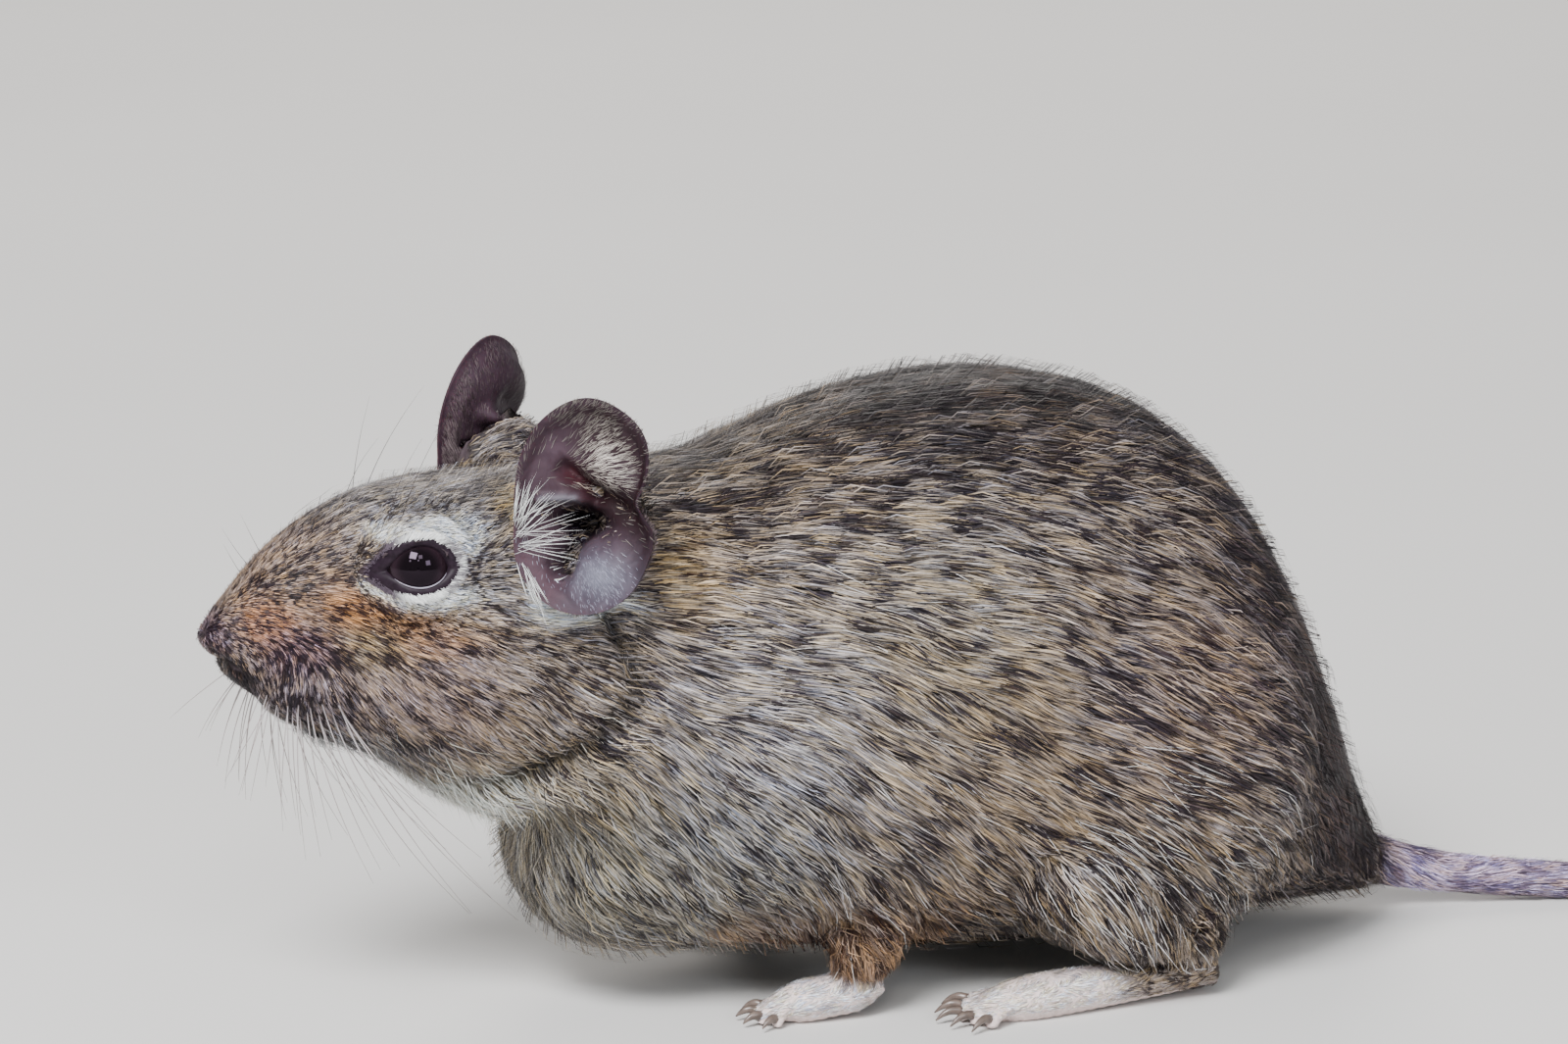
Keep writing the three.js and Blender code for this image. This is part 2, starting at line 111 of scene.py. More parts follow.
# Eye
EYE_LOOK = np.array([-0.28, 0.94, 0.16])
EYE_OPENING = {"front": 3.7, "back": 3.45, "upper": 2.55, "lower": 2.2, "corner": -0.35}
LID_OUTLINE = {"front": 6.3, "back": 5.0, "upper": 3.6, "lower": 3.35, "corner": -0.7}

# Ear, as in the solids: [degrees from the back edge towards the top, distance from the middle of the cup]
EAR_CENTRE = np.array([39.3, 20.0, 61.3])
EAR_FACES = np.array([-0.6, 0.78, 0.14])
EAR_LEAN = np.array([0.03, 0.1, 1.0])
EAR_RIM = [
    (-146, 8.2), (-98, 8.9), (-53, 9.1), (-12, 8.9), (12, 9.0), (26, 8.3), (37, 8.5), (47, 11.0), (60, 13.9),
    (78, 15.6), (92, 16), (112, 14.3), (130, 11.9), (148, 9.6), (176, 8),
]
EAR_THICKNESS = 0.9

# Feet: the sole's middle line as (x, y, z, half width), and the toes
FORE_FOOT = {
    "sole": [(76, 19, 4.6, 2.9), (73.5, 19, 2.9, 3.1), (70.5, 18.8, 2.5, 3.2), (67, 18.6, 2.1, 3.2),
             (64.4, 18.5, 1.7, 2.3), (62.6, 18.5, 1.4, 1.2)],
    "leg": [(75, 19.5, 10, 3.6), (74.2, 19.2, 6, 3.1), (73.4, 19, 3, 2.9)],
    "from": (67.5, 18.6, 1.9), "angles": (-34, -12, 9, 30), "length": 6.0, "radius": 1.05, "claw": 2.4,
}
HIND_FOOT = {
    "sole": [(117, 25, 3.4, 3.1), (106, 25.6, 2.6, 3.2), (94.5, 26.5, 2.2, 3.5), (89.5, 26.6, 1.8, 2.9),
             (86.5, 26.6, 1.4, 1.4)],
    "leg": [(112, 25.5, 10, 4.6), (113.6, 25, 6, 3.9), (114.4, 25, 3, 3.4)],
    "from": (94, 26.5, 1.9), "angles": (-32, -15, -1, 12, 27), "length": 9.5, "radius": 1.2, "claw": 3.2,
}
FEET = (FORE_FOOT, HIND_FOOT)
TOE_PAD = [(0.9, 0.55, 0.3), (0.5, 0.55, 0.75), (-0.2, 0.55, 0.8), (-0.7, 0.6, 0.3)]  # back, height, radius
PALM_PAD = [(1.3, 0.4), (0.6, 1.1), (-0.6, 1.1), (-1.3, 0.4)]  # back, radius
CLAW = [(0.0, 0.0, 0.5), (0.35, 0.12, 0.45), (0.7, -0.12, 0.3), (1.0, -0.55, 0.07)]  # ahead, up, radius

# Tail: its middle line with its radius
TAIL = [
    (140, 0, 12, 4.6), (149, 0, 7, 3.3), (160, -0.8, 4, 2.6), (176, -4.5, 2.35, 2.4), (196, -11.5, 2.1, 2.2),
    (216, -18, 1.95, 2.05), (236, -21, 1.8, 1.9), (252, -19, 1.65, 1.75),
]

# Colours, linear
WHITE_HAIR = np.array([0.96, 0.98, 0.96])
PALE_GAIN = np.array([0.83, 0.77, 0.74])  # how the coat's pale hairs are lit up against the table below
DARK_GAIN = np.array([0.34, 0.29, 0.36])
BARE_SKIN = np.array([0.050, 0.034, 0.040])
FOOT_SKIN = np.array([0.74, 0.61, 0.58])
LID_SHADE = np.array([0.10, 0.075, 0.10])


# Small tools

def unit(v):
    v = np.asarray(v, float)
    return v / np.maximum(np.linalg.norm(v, axis=-1, keepdims=True), 1e-9)


def smooth(low, high, value):
    t = np.clip((np.asarray(value, float) - low) / (high - low), 0, 1)
    return t * t * (3 - 2 * t)


def on_one_side(p):
    return np.where([False, True, False], np.abs(p), p)


def bell(p, centre, reach):
    """A soft spot: 1 at centre, falling off by reach, which may differ along x, y and z, on both sides."""
    d = (on_one_side(p) - np.asarray(centre, float)) / np.asarray(reach, float)
    return np.exp(-(d**2).sum(-1))


def peak(value, middle, width):
    """1 at middle, falling off by width to both sides."""
    return np.exp(-(((value - middle) / width) ** 2))


def blend(values, goal, weight):
    """Moves rows of values towards a goal in place, each by its own weight."""
    values += weight[:, None] * (np.asarray(goal) - values)


def fade(value, goal, weight):
    return value * (1 - weight) + goal * weight


def mirror(place, side):
    return np.asarray(place) * [1, side, 1]


def keep_above(points, lowest):
    points[:, 2] = np.maximum(points[:, 2], lowest)


def flat_on(normal, direction):
    """Directions with what stands off the surface taken out."""
    return direction - normal * (direction * normal).sum(1)[:, None]


def curve(points, count):
    """A smooth curve through points, as evenly numbered samples. Extra columns go along."""
    points = np.asarray(points, float)
    ends = np.concatenate([2 * points[:1] - points[1:2], points, 2 * points[-1:] - points[-2:-1]])
    t = np.linspace(0, len(points) - 1, count)
    i = np.minimum(t.astype(int), len(points) - 2)
    f = (t - i)[:, None]
    a, b, c, d = (ends[i + k] for k in range(4))
    return 0.5 * (2 * b + (c - a) * f + (2 * a - 5 * b + 4 * c - d) * f**2 + (3 * b - a - 3 * c + d) * f**3)


def gap_to_line(p, start, end):
    """Distance of each point from the straight line between two places."""
    start = np.array(start, float)
    reach = np.array(end, float) - start
    t = np.clip((p - start) @ reach / (reach @ reach), 0, 1)
    return np.linalg.norm(p - start - t[..., None] * reach, axis=-1)


def gap_to_curve(p, knots, count, near):
    """Distance of each near point from a curve through (x, z) knots, as seen from the side."""
    gap = np.full(len(p), FAR)
    gap[near] = np.linalg.norm(p[near][:, None, [0, 2]] - curve(knots, count), axis=2).min(1)
    return gap


def tube(path, sides=8, flat=1.0, up=UP):
    """A closed tube along a path of (x, y, z, radius): its points and triangles."""
    path = np.asarray(path, float)
    middle, radius = path[:, :3], path[:, 3]
    along = unit(np.gradient(middle, axis=0))
    side = unit(np.cross(up, along))
    over = np.cross(along, side)
    angle = np.linspace(0, 2 * math.pi, sides, endpoint=False)
    ring = np.cos(angle)[None, :, None] * side[:, None] + flat * np.sin(angle)[None, :, None] * over[:, None]
    points = (middle[:, None] + radius[:, None, None] * ring).reshape(-1, 3)
    faces = []
    for i in range(len(path) - 1):
        for j in range(sides):
            a, b = i * sides + j, i * sides + (j + 1) % sides
            faces += [(a, b, b + sides), (a, b + sides, a + sides)]
    first, last = len(points), len(points) + 1
    end = (len(path) - 1) * sides
    for j in range(sides):
        faces += [(first, (j + 1) % sides, j), (last, end + j, end + (j + 1) % sides)]
    return np.concatenate([points, middle[[0, -1]]]), np.array(faces)


def joined(parts):
    """Several (points, triangles) as one."""
    points, faces, base = [], [], 0
    for p, f in parts:
        points.append(p)
        faces.append(f + base)
        base += len(p)
    return np.concatenate(points), np.concatenate(faces)


def place_object(name, data):
    holder = bpy.data.objects.new(name, data)
    bpy.context.scene.collection.objects.link(holder)
    return holder


def make_mesh(name, points, faces, material, shaded=True):
    """A mesh object in the frame from millimetres and triangles."""
    faces = np.asarray(faces, np.int32)
    mesh = bpy.data.meshes.new(name)
    mesh.vertices.add(len(points))
    mesh.vertices.foreach_set("co", (points * MM + NOSE).astype(np.float32).ravel())
    mesh.loops.add(faces.size)
    mesh.loops.foreach_set("vertex_index", faces.ravel())
    mesh.polygons.add(len(faces))
    mesh.polygons.foreach_set("loop_start", np.arange(0, faces.size, faces.shape[1], dtype=np.int32))
    mesh.update(calc_edges=True)
    if shaded:
        mesh.shade_smooth()
    mesh.materials.append(material)
    return place_object(name, mesh)


def finish_piece(piece, slot, *nodes):
    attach(piece, "root")
    if nodes:
        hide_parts(*nodes)
    return piece


def points_of(mesh):
    co = np.zeros(len(mesh.vertices) * 3, np.float32)
    mesh.vertices.foreach_get("co", co)
    return (co.reshape(-1, 3).astype(float) - NOSE) / MM


def triangles_of(mesh):
    mesh.calc_loop_triangles()
    index = np.zeros(len(mesh.loop_triangles) * 3, np.int32)
    mesh.loop_triangles.foreach_get("vertices", index)
    return index.reshape(-1, 3)


def normals_of(points, faces):
    cross = np.cross(points[faces[:, 1]] - points[faces[:, 0]], points[faces[:, 2]] - points[faces[:, 0]])
    total = np.zeros_like(points)
    for k in range(3):
        for axis in range(3):
            total[:, axis] += np.bincount(faces[:, k], cross[:, axis], len(points))
    return unit(total)


def set_colours(piece, colours):
    layer = piece.data.color_attributes.new("hair", "FLOAT_COLOR", "POINT")
    rgba = np.ones((len(colours), 4), np.float32)
    rgba[:, :3] = np.clip(colours, 0, 1)
    layer.data.foreach_set("color", rgba.ravel())


def add_piece(name, slot, points, faces, material, colours=None, nodes=()):
    """A finished piece of the model, with a colour for each point where colours are given."""
    piece = make_mesh(name, points, faces, material)
    if colours is not None:
        set_colours(piece, colours)
    return finish_piece(piece, slot, *nodes)


def lattice(cells, seed):
    """A number from 0 to 1 for each whole-number cell."""
    h = cells[..., 0] * 73856093 ^ cells[..., 1] * 19349663 ^ cells[..., 2] * 83492791 ^ (seed * 2654435761)
    h = (h ^ (h >> 13)) * 1274126177 & 0xFFFFFFFF
    return ((h ^ (h >> 16)) & 0xFFFFFF) / float(0x1000000)


def noise(p, size, seed=0):
    """Smooth noise from -1 to 1 with features of about size millimetres."""
    q = np.asarray(p, float) / size
    cell = np.floor(q).astype(np.int64)
    f = q - cell
    f = f * f * (3 - 2 * f)
    total = np.zeros(q.shape[:-1])
    for corner in np.ndindex(2, 2, 2):
        weight = np.prod(np.where(corner, f, 1 - f), axis=-1)
        total += weight * lattice(cell + corner, seed)
    return 2 * total - 1


# Materials

def shader(name, **values):
    material = bpy.data.materials.new(name)
    material.use_nodes = True
    node = material.node_tree.nodes["Principled BSDF"]
    for key, value in values.items():
        node.inputs[key.replace("_", " ")].default_value = value
    return material, material.node_tree.nodes, material.node_tree.links, node


def grain_of(nodes, links, scale, detail, distortion=0.0):
    """Noise fixed to the object."""
    place = nodes.new("ShaderNodeTexCoord")
    texture = nodes.new("ShaderNodeTexNoise")
    for key, value in (("Scale", scale), ("Detail", detail), ("Distortion", distortion)):
        texture.inputs[key].default_value = value
    links.new(place.outputs["Object"], texture.inputs["Vector"])
    return texture.outputs["Fac"]


def two_tones(nodes, links, factor, positions, dark, pale=(1, 1, 1)):
    """A ramp between two colours."""
    ramp = nodes.new("ShaderNodeValToRGB")
    for element, position, colour in zip(ramp.color_ramp.elements, positions, (dark, pale)):
        element.position = position
        element.color = (*colour, 1)
    links.new(factor, ramp.inputs["Fac"])
    return ramp.outputs["Color"]


def own_colour(nodes):
    colour = nodes.new("ShaderNodeAttribute")
    colour.attribute_name = "hair"
    return colour.outputs["Color"]


def grained_material(name, scale, dark, positions=(0.3, 0.65), strength=0.35, detail=2, distortion=0.0,
                     bump=0.0, relief=0.0003, **values):
    """Takes its colour from the mesh's own hair colours, darkened and roughened by a fine grain."""
    material, nodes, links, bsdf = shader(name, **values)
    grain = grain_of(nodes, links, scale, detail, distortion)
    mix = nodes.new("ShaderNodeMix")
    mix.data_type = "RGBA"
    mix.blend_type = "MULTIPLY"
    mix.inputs["Factor"].default_value = strength
    links.new(own_colour(nodes), mix.inputs["A"])
    links.new(two_tones(nodes, links, grain, positions, dark), mix.inputs["B"])
    links.new(mix.outputs["Result"], bsdf.inputs["Base Color"])
    if bump:
        height = nodes.new("ShaderNodeBump")
        height.inputs["Strength"].default_value = bump
        height.inputs["Distance"].default_value = relief
        links.new(grain, height.inputs["Height"])
        links.new(height.outputs["Normal"], bsdf.inputs["Normal"])
    return material


def coat_material(name, bump=0.0, roughness=0.45, grain=2600.0):
    return grained_material(name, grain, (0.35, 0.33, 0.32), bump=bump, Roughness=roughness,
                            Specular_IOR_Level=0.24)


def eye_material():
    material, nodes, links, bsdf = shader("wet_eye", Roughness=0.02, Specular_IOR_Level=0.26, IOR=1.38,
                                          Specular_Tint=(0.95, 0.72, 1.0, 1.0))
    links.new(own_colour(nodes), bsdf.inputs["Base Color"])
    return material


def ear_material():
    return grained_material(
        "ear_skin", 420, (0.45, 0.38, 0.42), positions=(0.35, 0.6), strength=0.5, detail=6, distortion=1.2,
        bump=0.35, relief=0.0004, Roughness=0.55, Specular_IOR_Level=0.12, Subsurface_Weight=0.15,
        Subsurface_Scale=0.0010, Subsurface_Radius=(1.0, 0.35, 0.3))


def plain_material(name, colour, grain=900.0, dark=None, **values):
    """One colour broken up by a soft mottle."""
    material, nodes, links, bsdf = shader(name, **values)
    mottle = grain_of(nodes, links, grain, 4)
    dark = dark or [0.55 * c for c in colour]
    links.new(two_tones(nodes, links, mottle, (0.35, 0.65), dark, colour), bsdf.inputs["Base Color"])
    return material


# Eye and ear frames

def facing(out, lean, side):
    """Back, up and out directions of an eye or ear."""
    normal = unit(mirror(out, side))
    up = mirror(lean, side)
    up = unit(up - normal * (up @ normal))
    back = unit(np.cross(up, normal)) * (1 if side < 0 else -1)
    return back, up, normal


def ear_axes(side):
    return facing(EAR_FACES, EAR_LEAN, side)


def seen_from(p, centre, axes):
    """Each point as its distances from a centre along three directions."""
    return [(p - centre) @ axis for axis in axes]


def eye_centre(side_name):
    low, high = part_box(f"eye_{side_name}")
    return (np.array((low + high) / 2) - NOSE) / MM, (high.z - low.z) / 2 / MM


def almond(outline, count):
    """An outline round the eye, pointed in front, seen from in front of it."""
    f, b, u, l = (outline[k] for k in ("front", "back", "upper", "lower"))
    corner = outline["corner"]
    t = np.linspace(0, 1, count // 2, endpoint=False)[:, None]

    def bezier(a, c, d, e):
        a, c, d, e = map(np.array, (a, c, d, e))
        return (1 - t) ** 3 * a + 3 * (1 - t) ** 2 * t * c + 3 * (1 - t) * t**2 * d + t**3 * e

    top = bezier((-f, corner), (-f * 0.45, u * 1.3), (b * 0.75, u * 1.4), (b, -0.1))
    low = bezier((b, -0.1), (b * 0.75, -l * 1.3), (-f * 0.35, -l * 1.38), (-f, corner))
    return np.concatenate([top, low])


EAR_ROUND = np.array(
    [(a - 360, r) for a, r in EAR_RIM[-3:]] + EAR_RIM + [(a + 360, r) for a, r in EAR_RIM[:3]], float)


def ear_rim(degrees):
    """Distance of the ear's rim from the middle of its cup, smooth through the table."""
    degrees = np.asarray(degrees, float)
    a, r = EAR_ROUND[:, 0], EAR_ROUND[:, 1]
    slope = np.gradient(r, a)
    i = np.clip(np.searchsorted(a, degrees) - 1, 0, len(a) - 2)
    span = a[i + 1] - a[i]
    t = (degrees - a[i]) / span
    return ((2 * t**3 - 3 * t**2 + 1) * r[i] + (t**3 - 2 * t**2 + t) * span * slope[i]
            + (3 * t**2 - 2 * t**3) * r[i + 1] + (t**3 - t**2) * span * slope[i + 1])


def hill(u, v, middle, reach):
    return np.exp(-(((u - middle[0]) / reach[0]) ** 2 + ((v - middle[1]) / reach[1]) ** 2))


def along_line(u, v, start, end, width):
    """1 on a line between two places of the ear, falling off by width."""
    return peak(gap_to_line(np.stack([u, v], -1), start, end), 0, width)


def ear_hollow(u, v, share):
    """Depth of the ear's inner face behind the plane of its rim, u towards the back and v upwards."""
    inner = 1 - share**8
    depth = 1.3 * (1 - share**2)
    depth += 1.3 * hill(u, v, (0.0, 10.5), (5.5, 3.6)) * inner
    depth -= 0.9 * along_line(u, v, (0.5, 8.8), (5.8, 6.0), 1.5) * inner
    depth += 2.1 * along_line(u, v, (-3.2, 7.2), (0.4, 5.0), 1.0) * inner
    depth += 1.5 * along_line(u, v, (0.4, 5.0), (6.0, 3.6), 1.1) * inner
    depth -= 1.3 * along_line(u, v, (-5.6, 3.3), (-0.4, 4.1), 0.6) * inner
    canal, notch = hill(u, v, (-1.2, 1.3), (3.4, 1.9)), hill(u, v, (-2.0, -3.5), (1.1, 1.9))
    depth += 7.2 * np.maximum(canal, 0.9 * notch)
    depth += 4.0 * hill(u, v, (-1.6, -0.8), (1.5, 1.6))
    depth -= 1.6 * hill(u, v, (3.9, -3.6), (3.4, 3.3)) * inner
    depth -= 0.9 * smooth(0.84, 0.97, share) * (0.35 + 0.65 * smooth(0, 6, v))
    return depth


def ear_place(angle, distance):
    """A place of the ear as its distances towards the back and upwards."""
    return distance * np.cos(np.radians(angle)), distance * np.sin(np.radians(angle))


def ear_grid(shares, spokes):
    return np.meshgrid(shares, np.linspace(-180, 180, spokes, endpoint=False), indexing="ij")


def ear_points(side, angle, share, deeper=0.0, reach=math.inf):
    """Points of the ear's inner face, moved deeper behind it, and no further out than reach."""
    back, up, normal = ear_axes(side)
    distance = np.minimum(ear_rim(angle), reach) * share
    across, upward = ear_place(angle, distance)
    depth = ear_hollow(across, upward, distance / ear_rim(angle)) + deeper
    return (mirror(EAR_CENTRE, side) + across[..., None] * back + upward[..., None] * up
            - depth[..., None] * normal)


def disc_faces(rings, spokes, base=0, flip=False):
    """Triangles of a disc whose points run ring by ring outwards, the first ring at the middle."""
    faces = []
    for i in range(rings - 1):
        for j in range(spokes):
            a, b = base + i * spokes + j, base + i * spokes + (j + 1) % spokes
            faces += [(a, b + spokes, b), (a, a + spokes, b + spokes)]
    faces = np.array(faces)
    return faces[:, ::-1] if flip else faces


def shell(front, rear):
    """Two faces, each rings of points round a middle, closed at the edge and at the middle."""
    rings, spokes = front.shape[:2]
    total, edge = rings * spokes, (rings - 1) * spokes
    band = []
    for j in range(spokes):
        k = (j + 1) % spokes
        band += [(edge + j, edge + total + j, edge + k), (edge + k, edge + total + j, edge + total + k)]
        if 0 < j < spokes - 1:
            band += [(0, j, j + 1), (total, total + j + 1, total + j)]
    faces = [disc_faces(rings, spokes), disc_faces(rings, spokes, total, flip=True), band]
    return np.concatenate([front.reshape(-1, 3), rear.reshape(-1, 3)]), np.concatenate(faces)


# Skin

def ear_plug(side):
    """The flesh behind the ear's cup, which fills the ear's socket in the head."""
    share, angle = ear_grid(np.linspace(0.02, 1, 10), 32)
    front = ear_points(side, angle, share, 0.75, reach=8.3)
    return shell(front, ear_points(side, angle, share * 0.8, 7.0, reach=8.3))


def toe_tips(foot, side):
    """Each toe as its middle line, and the direction in which it points."""
    x, y, z = foot["from"]
    for degrees in foot["angles"]:
        a = math.radians(degrees)
        ahead = np.array([-math.cos(a), math.sin(a), 0.0])
        reach = foot["length"] * (1 - 0.25 * abs(a))
        root = np.array([x, y, z])
        r = foot["radius"]
        line = [
            (*(root - ahead * 2), r * 1.1),
            (*(root + ahead * reach * 0.35 + UP * 0.35), r),
            (*(root + ahead * reach * 0.7 + UP * 0.1), r * 0.86),
            (*((root + ahead * reach) * [1, 1, 0] + UP * r * 0.9), r * 0.95),
        ]
        line = np.array(line) * [1, side, 1, 1]
        yield line, mirror(ahead, side)


def foot_parts(foot, side):
    """Sole, ankle, toes and the pads under them, each a closed tube."""
    flip = np.array([1, side, 1, 1])
    yield tube(curve(np.array(foot["sole"]) * flip, 16), 14, flat=0.8)
    yield tube(curve(np.array(foot["leg"]) * flip, 8), 14, up=np.array([1.0, 0, 0]))
    for line, _ in toe_tips(foot, side):
        yield tube(curve(line, 12), 10, flat=0.92)
        x, y, _, r = line[-1]
        yield tube([(x + back, y, r * height, r * radius) for back, height, radius in TOE_PAD], 8, flat=0.7)
    for k in (-1, 0, 1):
        x, y, z = mirror(foot["from"], side) + [0.6, 1.7 * k, -0.9]
        yield tube([(x + back, y, z, radius) for back, radius in PALM_PAD], 8, flat=0.7)


def edges_of(faces):
    pairs = np.concatenate([faces[:, [0, 1]], faces[:, [1, 2]], faces[:, [2, 0]]])
    return np.unique(np.sort(pairs, axis=1), axis=0)


def relax(points, edges, weight, rounds):
    """Evens out the surface without shrinking it, more where weight is higher."""
    a, b = edges.T
    count = np.bincount(a, minlength=len(points)) + np.bincount(b, minlength=len(points))
    for step in range(2 * rounds):
        total = np.zeros_like(points)
        for axis in range(3):
            total[:, axis] = (np.bincount(a, points[b, axis], len(points))
                              + np.bincount(b, points[a, axis], len(points)))
        pull = total / np.maximum(count, 1)[:, None] - points
        points = points + (0.5 if step % 2 == 0 else -0.52) * weight[:, None] * pull
    return points


def near_eye(p, reach):
    """1 at an eye, falling to 0 at reach."""
    found = np.zeros(len(p))
    for name in SIDES:
        centre, _ = eye_centre(name)
        found = np.maximum(found, 1 - smooth(reach * 0.8, reach, np.linalg.norm(p - centre, axis=1)))
    return found


def on_leg(p):
    x, y, _ = p.T
    return (np.abs(y) > 13) & (x > 55) & (x < 122)


def fold_nearness(p, reach):
    """1 on the crease behind the cheek, falling off by reach."""
    x, y, z = p.T
    near = (x < 60) & (z < 62) & (np.abs(y) > 4)
    return peak(gap_to_curve(p, NECK_FOLD, 60, near), 0, reach)


def head_to_body(p, amounts, neck, muzzle):
    """An amount that changes over the neck and the muzzle, each given as where it starts and ends."""
    x, _, z = p.T
    amount = fade(amounts["body"], amounts["head"], 1 - smooth(*neck, x - 0.5 * (z - 45)))
    return fade(amount, amounts["muzzle"], 1 - smooth(*muzzle, x))


def coat_depth(p):
    """How far the coat stands off the skin."""
    depth = head_to_body(p, COAT_DEPTH, (30, 52), (4, 24))
    x, _, z = p.T
    depth = np.where(on_leg(p), fade(depth, COAT_DEPTH["foot"], 1 - smooth(4, 12, z)), depth)
    depth = fade(depth, COAT_DEPTH["tail"], smooth(143, 152, x))
    return depth * (1 - 0.85 * near_eye(p, 7.5))


def nostril_nearness(p, reach):
    """1 along the slit of each nostril, falling off by reach."""
    return peak(gap_to_line(on_one_side(p), *NOSTRIL), 0, reach)


def face_detail(p, n):
    """Nostrils, the groove below the nose, lips, whisker pads and the crease behind the cheek."""
    x, y, z = p.T
    move = sum(height * bell(p, centre, reach) for height, centre, reach in FACE_BUMPS)
    move -= 1.3 * nostril_nearness(p, 0.62)
    below = (1 - smooth(44.5, 46.5, z)) * (1 - smooth(6, 9, x))
    move -= 0.55 * peak(y, 0, 0.5) * below
    lip = gap_to_curve(p, LIP_LINE, 50, x < 16)
    move -= 0.85 * peak(lip, 0, 0.38)
    move += 0.25 * peak(lip, 1.0, 0.6)
    cheek = smooth(24, 31, x)
    move -= 1.5 * fold_nearness(p, 1.5) * cheek
    move += 0.5 * fold_nearness(p - [2.2, 0, -1.6], 2.0) * cheek
    move -= 2.4 * bell(p, (36, 0, 25), (5, 15, 8)) * smooth(0.2, 0.7, -n[:, 0])
    return p + n * move[:, None]


def voxel_merge(points, faces, voxel):
    """One closed surface round overlapping solids, as a mesh of even quads."""
    rough = make_mesh("rough", points, faces, None, shaded=False)
    remesh = rough.modifiers.new("remesh", "REMESH")
    remesh.mode = "VOXEL"
    remesh.voxel_size = voxel * MM
    made = bpy.data.meshes.new_from_object(rough.evaluated_get(bpy.context.evaluated_depsgraph_get()))
    bpy.data.objects.remove(rough)
    return made


def cut_to_triangles(mesh, finer=()):
    """Points and triangles of a mesh, cut finer in front of each distance from the nose."""
    bm = bmesh.new()
    bm.from_mesh(mesh)
    for reach in finer:
        limit = NOSE[0] + reach * MM
        edges = [e for e in bm.edges if max(v.co.x for v in e.verts) < limit]
        bmesh.ops.subdivide_edges(bm, edges=edges, cuts=1, use_grid_fill=True)
    bmesh.ops.triangulate(bm, faces=[f for f in bm.faces if len(f.verts) > 3])
    bm.to_mesh(mesh)
    bm.free()
    return points_of(mesh), triangles_of(mesh)


def build_skin():
    """One skin over the head, neck, torso, legs and tail, set in by the depth of the coat."""
    bm = bmesh.new()
    for name in FLESH:
        bm.from_mesh(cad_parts[name].data)
    bmesh.ops.remove_doubles(bm, verts=bm.verts, dist=2e-6)
    bm.normal_update()
    for v in bm.verts:
        v.co += v.normal * CLOSE_GAP * MM
    bulk = bpy.data.meshes.new("bulk")
    bm.to_mesh(bulk)
    bm.free()
    plugs = [ear_plug(side) for side in SIDES.values()]
    made = voxel_merge(*joined([(points_of(bulk), triangles_of(bulk)), *plugs]), SKIN_VOXEL)
    points, faces = cut_to_triangles(made, FINER_FACE)
    edges = edges_of(faces)
    ease = 1 - 0.75 * near_eye(points, 8)
    points = relax(points, edges, ease, 16)
    points = points - normals_of(points, faces) * (coat_depth(points) + CLOSE_GAP * 0.5)[:, None]
    points = relax(points, edges, ease, 5)
    points = face_detail(points, normals_of(points, faces))
    keep_above(points, LOWEST_SKIN)
    return points, faces


def build_feet():
    """All four feet, with their toes and pads, and fine rings across the soles."""
    parts = [part for side in SIDES.values() for foot in FEET for part in foot_parts(foot, side)]
    points, faces = cut_to_triangles(voxel_merge(*joined(parts), FOOT_VOXEL))
    points = relax(points, edges_of(faces), np.full(len(points), 0.6), 5)
    ring = 0.05 * np.sin(points[:, 0] * 4.2) * (1 - smooth(2, 4, points[:, 2]))
    points += normals_of(points, faces) * (ring - 0.12)[:, None]
    keep_above(points, LOWEST_SKIN)
    return points, faces
